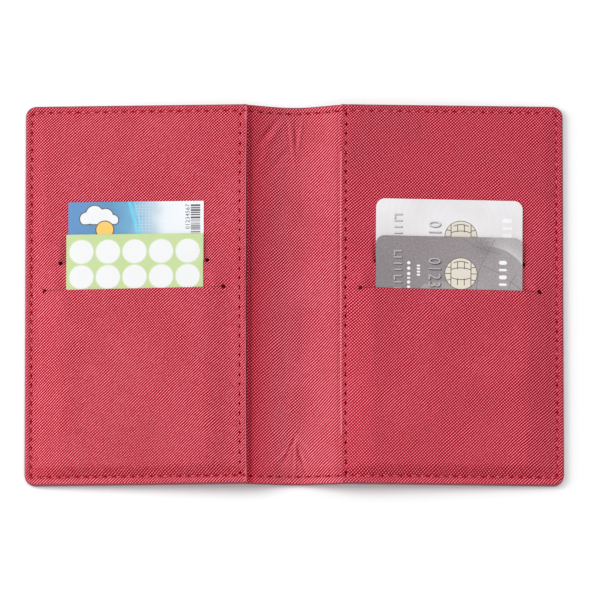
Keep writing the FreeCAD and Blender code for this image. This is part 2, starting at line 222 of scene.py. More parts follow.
# ---------------------------------------------------------------- mesh helpers
def new_object(name, verts, faces, mats, face_mats=None, uv=None, smooth=True):
    mesh = bpy.data.meshes.new(name)
    mesh.from_pydata([tuple(v) for v in verts], [], [tuple(f) for f in faces])
    for mat in mats:
        mesh.materials.append(mat)
    if face_mats is not None:
        mesh.polygons.foreach_set("material_index", np.asarray(face_mats, np.int32))
    mesh.polygons.foreach_set("use_smooth", np.full(len(mesh.polygons), smooth))
    if uv is not None:
        layer = mesh.uv_layers.new(name="UVMap")
        corners = np.zeros(len(mesh.loops), np.int32)
        mesh.loops.foreach_get("vertex_index", corners)
        layer.data.foreach_set("uv", np.asarray(uv, np.float32)[corners].ravel())
    mesh.validate()
    mesh.update()
    piece = bpy.data.objects.new(name, mesh)
    bpy.context.scene.collection.objects.link(piece)
    return piece


def fix_normals(piece, weld=0.0):
    """Turns all faces outwards, after welding vertices closer than weld metres."""
    mesh = bmesh.new()
    mesh.from_mesh(piece.data)
    if weld:
        bmesh.ops.remove_doubles(mesh, verts=mesh.verts, dist=weld)
    bmesh.ops.recalc_face_normals(mesh, faces=mesh.faces)
    mesh.to_mesh(piece.data)
    mesh.free()
    return piece


def cut_grid(columns, rows, cuts):
    """Faces of a grid cut open along rows; cuts is {row: columns}.

    Also gives the cut points, whose copies follow the grid and belong to the far side."""
    low = np.arange(columns * rows).reshape(columns, rows)
    high = low.copy()
    doubled = [(i, j) for j, cut_columns in cuts.items() for i in cut_columns]
    for k, (i, j) in enumerate(doubled):
        high[i, j] = columns * rows + k
    faces = [np.stack([high[:-1, j], high[1:, j], low[1:, j + 1], low[:-1, j + 1]], -1)
             for j in range(rows - 1)]
    return doubled, np.concatenate(faces)


def shell(name, columns, rows, top, bottom, place, mats, uv, warp, reach,
          cuts=None, flip=False, gap=0.0):
    """A closed sheet of leather between two height functions over one grid.

    Heights are functions of (x, y, cut); cut is -1 and 1 on the near and far lip of a cut.
    The outline and the rim carry the second material."""
    doubled, faces = cut_grid(len(columns), len(rows), cuts or {})
    x = np.repeat(columns, len(rows)).astype(float)
    y = np.tile(rows, len(columns)).astype(float)
    cut = np.zeros(len(x))
    if doubled:
        i, j = np.array(doubled).T
        cut[i * len(rows) + j] = -1
        x = np.concatenate([x, columns[i]])
        y = np.concatenate([y, rows[j]])
        cut = np.concatenate([cut, np.ones(len(i))])
    count = len(x)
    x, y = warp(x, y)
    y = y + cut * gap / 2
    verts = np.concatenate([place(x, y, top(x, y, cut)), place(x, y, bottom(x, y, cut))])

    edges = np.concatenate([faces[:, [0, 1]], faces[:, [1, 2]], faces[:, [2, 3]],
                            faces[:, [3, 0]]])
    ends = np.sort(edges, 1)
    keys = ends[:, 0].astype(np.int64) * count + ends[:, 1]
    _, first, uses = np.unique(keys, return_index=True, return_counts=True)
    border = edges[first[uses == 1]]
    rim = np.stack([border[:, 1], border[:, 0], border[:, 0] + count, border[:, 1] + count], -1)

    distance = edge_distance(np.abs(x), y, reach)[faces].mean(1)
    painted = np.where(distance < PAINTED, 1, 0)
    face_mats = np.concatenate([painted, painted, np.ones(len(rim), int)])
    faces = np.concatenate([faces, faces[:, ::-1] + count, rim])
    if flip:
        faces = faces[:, ::-1]
    uvs = uv(x, y)
    return new_object(name, verts, faces, mats, face_mats, np.concatenate([uvs, uvs]))


def merge_stations(*arrays):
    """Sorted grid stations, leaving out those that nearly coincide."""
    stations = np.unique(np.round(np.concatenate(arrays), 4))
    keep = [stations[0]]
    for station in stations[1:]:
        if station - keep[-1] > 0.06:
            keep.append(station)
    return np.array(keep)


# ---------------------------------------------------------------- shader helpers
def feed(tree, source, socket):
    """Links a Value, or sets a number or a linear colour."""
    if isinstance(source, Value):
        tree.links.new(source.socket, socket)
    elif isinstance(source, tuple):
        socket.default_value = (*source, 1)
    else:
        socket.default_value = source


def math_node(operation, clamp=False):
    """A Value method that adds one math node."""
    def apply(self, *others):
        node = self.tree.nodes.new("ShaderNodeMath")
        node.operation = operation
        node.use_clamp = clamp
        for source, socket in zip((self, *others), node.inputs):
            feed(self.tree, source, socket)
        return Value(self.tree, node.outputs[0])
    return apply


class Value:
    """A shader socket with arithmetic."""
    def __init__(self, tree, socket):
        self.tree, self.socket = tree, socket

    __add__ = math_node("ADD")
    __sub__ = math_node("SUBTRACT")
    __mul__ = math_node("MULTIPLY")
    __truediv__ = math_node("DIVIDE")
    __pow__ = math_node("POWER")
    sin = math_node("SINE")
    cos = math_node("COSINE")
    abs = math_node("ABSOLUTE")
    max = math_node("MAXIMUM")
    min = math_node("MINIMUM")
    above = math_node("GREATER_THAN")
    exponent = math_node("EXPONENT")
    add_clamped = math_node("ADD", clamp=True)

    def __rsub__(self, number):
        return self * -1.0 + number

    def clamp(self):
        return self.add_clamped(0.0)

    def falloff(self):
        """Exponential of the value, at most 1."""
        return self.exponent().min(1.0)

    def step(self, start, end):
        """Smooth step from 0 at start to 1 at end."""
        node = self.tree.nodes.new("ShaderNodeMapRange")
        node.interpolation_type = "SMOOTHSTEP"
        for key, source in (("Value", self), ("From Min", start), ("From Max", end)):
            feed(self.tree, source, node.inputs[key])
        return Value(self.tree, node.outputs["Result"])


class Material:
    """A Principled material under construction."""
    def __init__(self, name):
        self.material = bpy.data.materials.new(name)
        self.material.use_nodes = True
        self.tree = self.material.node_tree
        self.shader = self.tree.nodes["Principled BSDF"]

    def node(self, kind, inputs=None):
        node = self.tree.nodes.new(kind)
        for key, source in (inputs or {}).items():
            feed(self.tree, source, node.inputs[key])
        return node

    def output(self, node, key=0):
        return Value(self.tree, node.outputs[key])

    def separate(self, vector):
        node = self.node("ShaderNodeSeparateXYZ", {0: vector})
        return [self.output(node, k) for k in range(3)]

    def uv(self):
        node = self.node("ShaderNodeUVMap")
        node.uv_map = "UVMap"
        return self.separate(self.output(node))

    def object_metres(self):
        return self.separate(self.output(self.node("ShaderNodeTexCoord"), "Object"))

    def object_mm(self, axes=3):
        return [axis * 1000.0 for axis in self.object_metres()[:axes]]

    def noise(self, x, y, z=0.0, scale=1.0, detail=2.0):
        vector = self.output(self.node("ShaderNodeCombineXYZ", {0: x, 1: y, 2: z}))
        return self.output(self.node("ShaderNodeTexNoise", {
            "Scale": scale, "Detail": detail, "Roughness": 0.5, "Vector": vector}), "Fac")

    def attribute(self, name):
        node = self.node("ShaderNodeAttribute")
        node.attribute_name = name
        return self.output(node, "Fac")

    def mix(self, factor, first, second):
        node = self.node("ShaderNodeMix")
        node.data_type = "RGBA"
        for k, source in ((0, factor), (6, first), (7, second)):
            feed(self.tree, source, node.inputs[k])
        return self.output(node, 2)

    def ramp(self, factor, stops):
        node = self.node("ShaderNodeValToRGB", {0: factor})
        elements = node.color_ramp.elements
        while len(elements) < len(stops):
            elements.new(0.5)
        for element, (position, color) in zip(elements, stops):
            element.position = position
            element.color = (*color, 1)
        return self.output(node)

    def bump(self, height, distance, strength):
        node = self.node("ShaderNodeBump", {
            "Distance": distance, "Strength": strength, "Height": height})
        feed(self.tree, self.output(node), self.shader.inputs["Normal"])

    def finish(self, color, rough, spec, metal=0.0, sheen=0.0):
        for key, source in (("Base Color", color), ("Roughness", rough), ("Metallic", metal),
                            ("Specular IOR Level", spec), ("Sheen Weight", sheen)):
            feed(self.tree, source, self.shader.inputs[key])
        return self.material


def srgb(*levels_8bit):
    """Linear colour from sRGB levels of 0 to 255."""
    parts = [level / 255 for level in levels_8bit]
    return tuple(c / 12.92 if c <= 0.04045 else ((c + 0.055) / 1.055) ** 2.4 for c in parts)


# ---------------------------------------------------------------- leather
TONE_RUN = 17.0            # distance from the spine's middle over which its tone shifts


def leather(name, stops, cross=0.62, seed=0.0, shift=0.0, deep=1.0, lean=0.0, lift=0.0,
            tuck=0.0, pitch=0.78, far=0.0, slope=0.0):
    """Cross-hatched embossed leather. UV holds millimetres on the flat piece, moved by shift.

    cross: how far the second set of ribs cuts the first; far and slope raise it along Y
    deep: below 1 for a purer red; lean, lift: tone gained to the right and overall
    tuck: less crossing to the right, and painted shade at the left of the spine: a deeper tone
    and a dark line along the left flap's edge"""
    surface = Material(name)
    x, y, _ = surface.uv()
    wave = surface.noise(x, y, seed, scale=0.07) - 0.5
    jitter = surface.noise(x, y, seed + 9, scale=0.9, detail=1.0) - 0.5
    across_rising = x * 0.69 - y * 0.724 + wave * 1.5 + jitter * 0.14
    across_falling = x * 0.772 + y * 0.636 + wave * 1.2 + jitter * 0.2
    turns = 2 * math.pi / pitch
    rising = (across_rising * turns).cos() * 0.5 + 0.5
    falling = (across_falling * turns).cos() * 0.5 + 0.5
    mixed = surface.noise(x, y, seed + 4, scale=0.045).step(0.42, 0.64) * 0.3 + cross * 0.6
    if tuck:
        mixed = mixed - x * (tuck / TONE_RUN)
    if far:
        mixed = mixed + y.step(20.0, 50.0) * far
    if slope:
        mixed = mixed + y * (slope / 60.0)
    mixed = mixed.clamp()
    ribs = rising * (falling * mixed + (1.0 - mixed)) / (mixed * -0.5 + 1.0) * 0.78
    grit = surface.noise(x, y, seed + 2, scale=2.6)
    broad = surface.noise(x, y, seed + 5, scale=0.03)
    # the ribs are drawn light and the grooves dark: the embossing's relief with painted
    # highlight on the ribs and painted shade in the grooves
    tone = (ribs - 0.39) * 1.55 + 0.45 + (grit - 0.5) * 0.8 + (broad - 0.5) * 0.05
    # painted shade: the leather is drawn darker in the groove along the sewn lines, where it is
    # pressed down
    near_line = HALF - NEAR_INSET
    to_edge = (FULL - (x - shift).abs()).min((HALF - y).min(y + near_line))
    tone = tone - (to_edge - SEAM_INSET).abs().step(0.75, 0.15) * 0.22
    # painted shade: a dark band on the slope above the near seam
    from_near = y + near_line
    tone = tone - (from_near - 4.4).abs().step(2.4, 0.5) * 0.06
    # painted highlight on the rim outside the near seam
    tone = tone + from_near.step(2.0, 1.2) * 0.05
    if lean or lift:
        tone = tone + x * (lean / TONE_RUN) + lift
    # painted shade in the hollows of the spine's creases
    tone = tone - surface.attribute("crease") * 0.42
    stops = [(at, (r, g * deep, b * (0.35 + 0.65 * deep))) for at, (r, g, b) in stops]
    if tuck:
        # painted shadow: a dark line where the spine goes under the left flap
        tone = tone - (x + TONE_RUN).abs().step(1.5, 0.2) * 0.20
    color = surface.ramp(tone.clamp(), stops)
    if tuck:
        # painted shade: a deeper, purer red in the shadow of the left flap
        flap_shade_mix = (x * (-1 / 11.0) - 0.55).clamp()
        deeper = [(at, (r, g * 0.52, b * 0.64)) for at, (r, g, b) in stops]
        color = surface.mix(flap_shade_mix, color, surface.ramp(tone.clamp(), deeper))
    surface.bump(ribs * 0.8 + grit * 0.25, distance=0.00016, strength=0.9)
    return surface.finish(color, rough=grit * 0.2 + 0.5 - ribs * 0.08, spec=0.05)


# colours from the grooves to the ribs; the pale end is a painted highlight
INNER_STOPS = [(0.0, srgb(126, 0, 8)), (0.42, srgb(172, 1, 26)), (0.74, srgb(212, 52, 76)),
               (1.0, srgb(252, 158, 174))]
OUTER_STOPS = [(0.0, srgb(124, 0, 8)), (0.42, srgb(168, 2, 26)), (0.74, srgb(208, 54, 76)),
               (1.0, srgb(246, 152, 166))]
OUTER_SHIFT = 300.0        # keeps the outer texture apart from the inner one
LEATHER_IN = {
    -1: leather("saffiano_inner_left", INNER_STOPS, deep=0.88, cross=0.3, slope=0.05,
                lift=-0.025),
    1: leather("saffiano_inner_right", INNER_STOPS, deep=0.74, cross=0.55, pitch=0.81,
               far=0.34, lift=0.01)}
LEATHER_SPINE = leather("saffiano_spine", INNER_STOPS, deep=0.88, lean=-0.035, lift=0.08,
                        tuck=0.36, pitch=0.83, slope=0.12)
LEATHER_OUT = leather("saffiano_outer", OUTER_STOPS, seed=31.0, shift=OUTER_SHIFT)


# ---------------------------------------------------------------- plain materials
def speckled(name, dark, light, scale=3.0, rough=0.6, grain=0.00003, spec=0.4, on_uv=False):
    """Finely speckled surface between two sRGB colours."""
    surface = Material(name)
    x, y, z = surface.uv() if on_uv else surface.object_mm()
    fine = surface.noise(x, y, z, scale=scale, detail=3.0)
    broad = surface.noise(x, y, z, scale=scale * 0.13)
    color = surface.mix((fine * 0.6 + broad * 0.6 - 0.1).clamp(), srgb(*dark), srgb(*light))
    surface.bump(fine, grain, strength=0.8)
    return surface.finish(color, rough=broad * 0.2 + (rough - 0.1), spec=spec)


def leather_edge(name, dark, light, **look):
    return speckled(name, dark, light, grain=0.00004, on_uv=True, **look)


# painted shade: the dark colour seen in a needle hole
def needle_hole_shade(name, dark, light):
    return speckled(name, dark, light, rough=0.95, grain=0.00002, spec=0.0)


def ink(name, dark, light, scale=2.0, rough=0.5, spec=0.4):
    return speckled(name, dark, light, scale=scale, rough=rough, grain=0.00001, spec=spec)


def thread(name, dark, light):
    surface = Material(name)
    x, y, z = surface.object_mm()
    twist = ((x + y) * 9.0).sin() * 0.5 + 0.5
    fibre = surface.noise(x, y, z, scale=4.0)
    color = surface.mix((twist * 0.6 + fibre * 0.5 - 0.05).clamp(), srgb(*dark), srgb(*light))
    surface.bump(twist, distance=0.00005, strength=0.9)
    return surface.finish(color, rough=0.62, spec=0.3, sheen=0.2)


EDGE = leather_edge("painted_edge", (126, 52, 66), (150, 66, 80), scale=2.2, rough=0.42)
CUT_EDGE = leather_edge("cut_leather_edge", (164, 24, 44), (192, 44, 64))
# smooth rolled free edges of the flaps, drawn lighter as a painted highlight on the rounded
# edge, the right one brighter
ROLLED_EDGE_HIGHLIGHT = {
    1: leather_edge("rolled_flap_edge_highlight_right", (226, 112, 128), (248, 146, 158),
                    scale=2.6, rough=0.5, spec=0.2),
    -1: leather_edge("rolled_flap_edge_highlight", (206, 82, 98), (232, 118, 134),
                     scale=2.6, rough=0.5, spec=0.2)}
STITCH_MATS = [thread("sewing_thread", (158, 22, 44), (218, 86, 102)),
               needle_hole_shade("needle_hole_shade", (84, 0, 8), (112, 0, 14))]
PERIMETER_MATS = [thread("sewing_thread_outer_seam", (176, 40, 60), (236, 116, 130)),
                  needle_hole_shade("needle_hole_shade_outer_seam", (128, 6, 26), (152, 18, 42))]

# ---------------------------------------------------------------- outer leather and lining
# grid stations measured in from an outer edge
EDGE_STATIONS = np.array([0, 0.22, 0.45, 0.7, 1.0, 1.4, 1.8, 2.1, 2.4, 2.7, 3.0, 3.5, 4.0])
SHEET_ROWS = merge_stations(-HALF + EDGE_STATIONS, HALF - EDGE_STATIONS,
                            np.linspace(-HALF + 4, HALF - 4, 210))
SHEET_JOINT = SPINE - 1.0  # where the middle sheet meets the side sheets
# creases of the spine: place along the section, y, angle in degrees, length, width, height
CREASES = (
    (-1.4, 60, 96, 8, 0.7, 0.42), (0.2, 62, 92, 6, 0.5, -0.42), (1.8, 60, 82, 6, 0.7, 0.36),
    (-11.4, 61.0, 53, 6.5, 0.9, -0.85), (-9.2, 60.0, 53, 7, 1.2, 0.60),
    (-13.4, 50, 62, 8, 1.2, 0.34), (-6.0, 52, 50, 8, 1.2, -0.34),
    (0.2, -60, 88, 6, 0.6, 0.42), (-1.6, -57, 64, 6, 0.7, -0.40),
    (2.0, -61, 108, 5, 0.7, -0.36), (-4.5, -60, 40, 7, 1.0, 0.26),
    (5.0, -58, 128, 6, 1.0, 0.20), (1.0, -40, 60, 16, 3.2, 0.16),
    (-3.0, -10, 62, 24, 4.0, 0.16), (4.0, 18, 64, 22, 3.6, -0.16),
    (-5.0, 26, 58, 18, 3.0, 0.14), (5.0, -26, 66, 18, 3.0, 0.14),
)


def spine_wrinkle(along, y):
    """Creases in the limp spine: a pinch at each end and low diagonal waves."""
    fade = (np.clip(1 - (np.abs(along) / 17.0) ** 4, 0, 1) ** 1.5
            * smooth_step((HALF - 2.0 - np.abs(y)) / 4.0))
    total = 0.0
    for crease_x, crease_y, degrees, length, width, height in CREASES:
        angle = math.radians(degrees)
        dx, dy = along - crease_x, y - crease_y
        lengthwise = dx * math.cos(angle) + dy * math.sin(angle)
        crosswise = -dx * math.sin(angle) + dy * math.cos(angle)
        total = total + height * np.exp(-(lengthwise / length) ** 2 - (crosswise / width) ** 2)
    return total * fade


def over_cover(along):
    """0 over the spine, 1 over the covers."""
    return smooth_step((np.abs(along) - (SPINE - 1.0)) / 3.0)


def outer_bottom(along, y, cut):
    distance, from_seam = seam_offset(np.abs(along), y, FULL)
    rounding = 0.22 * np.clip(1 - distance / 0.7, 0, 1) ** 2
    return rounding + 0.2 * bell(from_seam, 0.5) + 0.6 * spine_wrinkle(along, y)


def outer_top(along, y, cut):
    out = np.abs(along)
    border = 1 - smooth_step((edge_distance(out, y, FULL) - 3.4) / 0.7)
    fold_border = 1 - smooth_step((out - (SPINE + 0.5)) / 3.0)
    turned = 0.395 * over_cover(along) * np.maximum(border, fold_border)
    return 0.795 + turned + 0.6 * spine_wrinkle(along, y)


def lining_bottom(along, y, cut):
    return 0.802 + 0.4 * over_cover(along) + 0.6 * spine_wrinkle(along, y)


def lining_top(along, y, cut):
    distance, from_seam = seam_offset(np.abs(along), y, FULL)
    cover = over_cover(along)
    rounding = -0.2 * np.clip(1 - distance / 0.7, 0, 1) ** 2
    seam = -0.26 * bell(from_seam, 0.55)
    puff = 0.10 * bell(distance - 1.3, 0.8)
    return (1.2 + 0.395 * cover + (rounding + seam + puff) * (1 - cover)
            + spine_wrinkle(along, y))


def sheet_columns(start, end):
    """Stations along the section, denser at the folds, the spine and the outer edges."""
    stations = np.concatenate([
        np.linspace(start, end, max(int((end - start) / 1.1), 2)),
        *(np.arange(fold - 3, fold + 4, 0.4) for fold in (-SPINE, SPINE)),
        np.arange(-15, 15, 0.42),
        *(side * (FULL - EDGE_STATIONS) for side in (-1, 1))])
    stations = merge_stations(stations[(stations >= start) & (stations <= end)])
    stations[0], stations[-1] = start, end
    return stations


def sheet_warp(along, y):
    out, y = round_corner(np.abs(along), y, FULL)
    return np.sign(along) * out, y


def add_crease_shade_attribute(piece, columns):
    """Marks the hollows of the spine, where the leather is drawn darker as painted shade."""
    x, y = sheet_warp(np.repeat(columns, len(SHEET_ROWS)).astype(float),
                      np.tile(SHEET_ROWS, len(columns)).astype(float))
    reach = 0.7
    around = sum(spine_wrinkle(x + dx, y + dy)
                 for dx, dy in ((reach, 0), (-reach, 0), (0, reach), (0, -reach))) / 4
    hollow = np.clip((around - spine_wrinkle(x, y)) * 5.0, -0.5, 1.0)
    attribute = piece.data.attributes.new("crease", "FLOAT", "POINT")
    attribute.data.foreach_set("value", np.concatenate([hollow, hollow]).astype(np.float32))


# part: start and end along the section, the two CAD bodies, x where the blend starts and ends
SHEET_PARTS = {
    "left": (-FULL, -SHEET_JOINT, "cover_left", "spine_left", -20.0, -16.6),
    "middle": (-SHEET_JOINT, SHEET_JOINT, "spine_left", "spine_right", -8.5, 8.5),
    "right": (SHEET_JOINT, FULL, "spine_right", "cover_right", 16.6, 20.0)}


def blend_part(piece):
    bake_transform(piece)


def folded_sheet(prefix, top, bottom, mats, shift, replaced):
    """One leather layer over both covers and the spine, in three parts."""
    for part, (start, end, *_) in SHEET_PARTS.items():
        columns = sheet_columns(start, end)
        piece = shell(prefix + "_" + part, columns, SHEET_ROWS, top, bottom, section_map, mats,
                      lambda x, y: np.stack([x + shift, y], -1), sheet_warp, FULL)
        if part == "middle" and prefix == "inner_leather":
            add_crease_shade_attribute(piece, columns)
        blend_part(piece)
        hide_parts(*replaced[part])


folded_sheet("outer_leather", outer_top, outer_bottom, [LEATHER_OUT, EDGE], OUTER_SHIFT,
             {"left": ["outer_cover_left"], "middle": ["outer_spine_left", "outer_spine_right"],
              "right": ["outer_cover_right"]})
folded_sheet("inner_leather", lining_top, lining_bottom, [LEATHER_SPINE, EDGE], 0.0,
             {"left": ["inner_lining_left"],
              "middle": ["inner_lining_spine_left", "inner_lining_spine_right"],
              "right": ["inner_lining_right"]})

# ---------------------------------------------------------------- pocket panels
PANEL_COLUMNS = merge_stations(
    np.array([0, 0.18, 0.4, 0.7, 1.0, 1.4, 1.8, 2.1, 2.4, 2.7, 3.1, 3.6, 4.2]),
    COVER - EDGE_STATIONS, np.linspace(4.6, COVER - 4.4, 108))
SLIT_ROWS = np.array([-0.9, -0.5, -0.22, 0.0, 0.4])   # rows around each slit
LIP_RUN = 5.5              # the lower slit closes over this width beside the card


def slanted(out, y, side):
    """y of a level row after it follows the slant of the slits."""
    return y + (SLANT * (out - SLOT[side]) * bell(y - 6, 26.0)
                * smooth_step((COVER - out) / 6.0) * smooth_step(out / 4.0))


def panel_top(side):
    """Height function of the upper face of a panel."""
    strip_rise, pocket_rise = (level - PANEL_TOP for level in LEVELS[side])
    low, high = LOWER_SLIT[side], UPPER_SLIT[side]
    card_start, card_end = CARD_ENDS[side]
    slit_start, slit_end = UPPER_ENDS[side]
    groove_depth, groove_width = GROOVE[side]

    def top(out, row_y, cut):
        y = row_y - (slanted(out, row_y, side) - row_y)
        from_slot = out - SLOT[side]
        distance, from_seam = seam_offset(out, row_y, COVER)
        # sewn outline, rising inwards to the free height of the panel
        rise = smooth_step((distance - 2.7) / 5.2)
        base = 2.1 - 0.30 * np.clip(1 - distance / 0.8, 0, 1) ** 2
        base = base + 0.07 * bell(distance - 1.3, 0.7) - 0.30 * bell(from_seam, 0.6)
        base = base + (PANEL_TOP - 2.1) * rise
        # free edge: rolled, with its own seam, and lifted a little between the sewn ends
        lift = 1.15 * np.clip(1 - (y / 69.0) ** 2, 0, 1) ** 0.8 * np.exp(-(out / 9.0) ** 1.6)
        ripple = 0.10 * value_noise(y, out * 0 + 3.3, 5 + side, 13.0) * np.exp(-out / 8.0)
        base = base + lift + ripple * rise - 0.2 * np.clip(1 - out / 0.45, 0, 1) ** 2
        base = base - groove_depth * bell(out - FLAP_SEAM[side], groove_width)
        base = base + 0.08 * bell(out - 0.9, 0.6)

        # zones: below both slits, between them, above both
        below = (y < low - 0.12) | ((np.abs(y - low) <= 0.12) & (cut <= 0))
        above = (y > high + 0.12) | ((np.abs(y - high) <= 0.12) & (cut > 0))
        between = ~(below | above)
        beside = np.maximum(np.maximum(card_start - from_slot, from_slot - card_end), 0)
        card = 1 - taut(beside / CARD_RUN[side])
        closing = smooth_step(beside / LIP_RUN)

        def strip_level(y_there):
            fade = 1 - smooth_step((y_there - low) / (high - low + 3.0))
            return card * (strip_rise + (pocket_rise - strip_rise) * closing * fade)
        pocket = pocket_rise * card * taut((y - (POCKET_FLOOR - 3.4)) / 4.5)
        to_end = np.minimum(from_slot - slit_start, slit_end - from_slot)
        joined = 1 - smooth_step(to_end / END_RUN[side])
        beyond = strip_level(high) * joined * bell(y - high, 7.5)
        raised = np.where(below, pocket, np.where(above, beyond, strip_level(y)))
        # lips of the slits are slightly rolled
        low_lip = np.exp(-np.clip(low - y, 0, 9) / 0.35) * below * (beside < LIP_RUN)
        high_lip = np.exp(-np.clip(high - y, 0, 9) / 0.35) * between * (to_end > 0)
        # soft unevenness, except where a card holds the leather flat
        held = (1 - smooth_step(beside / 3.0)) * (y > low - 0.5)
        soft = 0.05 * value_noise(out, y, 11 + side, 17.0) * rise * (1 - held)
        return base + raised - 0.13 * low_lip - 0.13 * high_lip + soft
    return top


def force_station(stations, value):
    """Moves the nearest station exactly onto value."""
    k = int(np.argmin(np.abs(stations - value)))
    stations[k] = value
    return k


def mark_cut_edges(mesh, side):
    """Gives the free edge and the slit lips cut leather instead of the edge paint."""
    centres = np.zeros(len(mesh.polygons) * 3)
    mesh.polygons.foreach_get("center", centres)
    centres = centres.reshape(-1, 3) / MM
    face_mats = np.zeros(len(mesh.polygons), np.int32)
    mesh.polygons.foreach_get("material_index", face_mats)
    out = (np.abs(centres[:, 0]) - FOLD_X) / math.cos(TILT)
    inside = edge_distance(out, centres[:, 1], COVER) > 0.6
    rolled = out + OVERHANG[side] < {1: 0.42, -1: 0.5}[side]
    face_mats = np.where((face_mats == 1) & inside, 2, face_mats)
    # the band along the free edge takes the rolled edge material with its painted highlight
    face_mats = np.where(rolled & inside, 3, face_mats)
    mesh.polygons.foreach_set("material_index", face_mats)


def relief_cutter(side, name):
    """Pins at the ends of the slits, to be cut from a panel."""
    pins = bmesh.new()
    place = cover_map(side)
    for half, slit in ((SLIT_HALF, LOWER_SLIT), (RELIEF_UPPER, UPPER_SLIT)):
        for out in (SLOT[side] - half, SLOT[side] + half):
            y = float(slanted(out, slit[side], side))
            low, high = Vector(place(out, y, 1.7)), Vector(place(out, y, 7.5))
            turn = (high - low).normalized().to_track_quat("Z", "Y").to_matrix().to_4x4()
            bmesh.ops.create_cone(
                pins, cap_ends=True, segments=28, radius1=RELIEF_RADIUS * MM,
                radius2=RELIEF_RADIUS * MM, depth=(high - low).length,
                matrix=Matrix.Translation((low + high) / 2) @ turn)
    mesh = bpy.data.meshes.new(name)
    pins.to_mesh(mesh)
    pins.free()
    mesh.materials.append(CUT_EDGE)
    cutter = bpy.data.objects.new(name, mesh)
    bpy.context.scene.collection.objects.link(cutter)
    return cutter


def apply_modifiers(piece):
    graph = bpy.context.evaluated_depsgraph_get()
    mesh = bpy.data.meshes.new_from_object(piece.evaluated_get(graph),
                                           preserve_all_data_layers=True, depsgraph=graph)
    piece.modifiers.clear()
    piece.data = mesh


def punch(panel, cutter):
    """Cuts with the first boolean solver that keeps the panel whole."""
    face_count = len(panel.data.polygons)
    kept = panel.data.copy()
    for solver in ("EXACT", "MANIFOLD", "FLOAT"):
        boolean = panel.modifiers.new("punch", "BOOLEAN")
        boolean.operation = "DIFFERENCE"
        boolean.object = cutter
        try:
            boolean.solver = solver
        except TypeError:      # this Blender doesn't have the solver
            panel.modifiers.clear()
            continue
        apply_modifiers(panel)
        if len(panel.data.polygons) > face_count * 0.9:
            break
        panel.data = kept.copy()
    bpy.data.objects.remove(cutter)


def pocket_panel(side, tag):
    columns = PANEL_COLUMNS.copy()
    rows = merge_stations(-HALF + EDGE_STATIONS, HALF - EDGE_STATIONS,
                          np.linspace(-HALF + 4.3, HALF - 4.3, 170),
                          LOWER_SLIT[side] + SLIT_ROWS, UPPER_SLIT[side] + SLIT_ROWS)
    slits = [(force_station(rows, slit[side]), ends)
             for slit, ends in ((LOWER_SLIT, (-SLIT_HALF, SLIT_HALF)),
                                (UPPER_SLIT, UPPER_ENDS[side]))]
    for _, ends in slits:
        for end in ends:
            force_station(columns, SLOT[side] + end)
    from_slot = columns - SLOT[side]
    cuts = {row: [i for i in range(len(columns)) if start + 0.02 < from_slot[i] < end - 0.02]
            for row, (start, end) in slits}
    top = panel_top(side)

    def bottom(out, y, cut):
        return np.maximum(top(out, y, cut) - PANEL_THICK, LINING_TOP + 0.002)

    def warp(out, y):
        out, y = round_corner(out, y, COVER)
        return out, slanted(out, y, side)

    panel = shell("pocket_panel_leather_" + tag, columns, rows, top, bottom, panel_map(side),
                  [LEATHER_IN[side], EDGE, CUT_EDGE, ROLLED_EDGE_HIGHLIGHT[side]],
                  lambda out, y: np.stack([side * (out + SPINE), y], -1), warp, COVER,
                  cuts=cuts, flip=side < 0, gap=SLIT_OPEN)
    mark_cut_edges(panel.data, side)
    punch(panel, relief_cutter(side, "punch_" + tag))
    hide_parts("pocket_panel_" + tag)
    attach(panel, "cover_" + tag)


for side, tag in SIDES:
    pocket_panel(side, tag)

# ---------------------------------------------------------------- stitches
THREAD_HALF_WIDTH, THREAD_HALF_HEIGHT = 0.24, 0.16
THREAD_DIP, THREAD_RISE = 0.16, 0.05       # ends below and middle above the surface
THREAD_RINGS, THREAD_SIDES = 9, 8
HOLE_RINGS, HOLE_SIDES = 5, 10


def seam_axes(tangent, normal):
    tangent, normal = Vector(tangent).normalized(), Vector(normal).normalized()
    return tangent, normal, normal.cross(tangent)


def tube_faces(base, rings, sides):
    """Side faces between the rings, then the two caps."""
    faces = []
    for i in range(rings - 1):
        for j in range(sides):
            first, second = base + i * sides + j, base + i * sides + (j + 1) % sides
            faces.append((first, second, second + sides, first + sides))
    faces.append(tuple(base + j for j in range(sides))[::-1])
    faces.append(tuple(base + (rings - 1) * sides + j for j in range(sides)))
    return faces


def stitch_verts(centre, tangent, normal, length, slant):
    tangent, normal, across = seam_axes(tangent, normal)
    across.normalize()
    verts = []
    for i in range(THREAD_RINGS):
        part = -1 + 2 * i / (THREAD_RINGS - 1)
        taper = max(1 - abs(part) ** 4, 0.02) ** 0.5 * MM
        height = (THREAD_RISE - (THREAD_RISE + THREAD_DIP) * abs(part) ** 2.2) * MM
        middle = (Vector(centre) + tangent * (part * length / 2) + across * (part * slant / 2)
                  + normal * height)
        for j in range(THREAD_SIDES):
            angle = 2 * math.pi * j / THREAD_SIDES
            verts.append(middle + across * (math.cos(angle) * THREAD_HALF_WIDTH * taper)
                         + normal * (math.sin(angle) * THREAD_HALF_HEIGHT * taper))
    return verts


def hole_verts(centre, tangent, normal, half_length, half_width):
    """A flat dark lens of painted shade in a needle hole, turned a little against the seam."""
    tangent, normal, across = seam_axes(tangent, normal)
    tangent = (tangent - across.normalized() * 0.30).normalized()
    across = normal.cross(tangent)
    verts = []
    for i in range(1, HOLE_RINGS):
        polar = math.pi * i / HOLE_RINGS
        for j in range(HOLE_SIDES):
            angle = 2 * math.pi * j / HOLE_SIDES
            verts.append(Vector(centre)
                         + tangent * (math.cos(angle) * math.sin(polar) * half_length * MM)
                         + across * (math.sin(angle) * math.sin(polar) * half_width * MM)
                         + normal * ((math.cos(polar) * 0.10 - 0.03) * MM))
    return verts


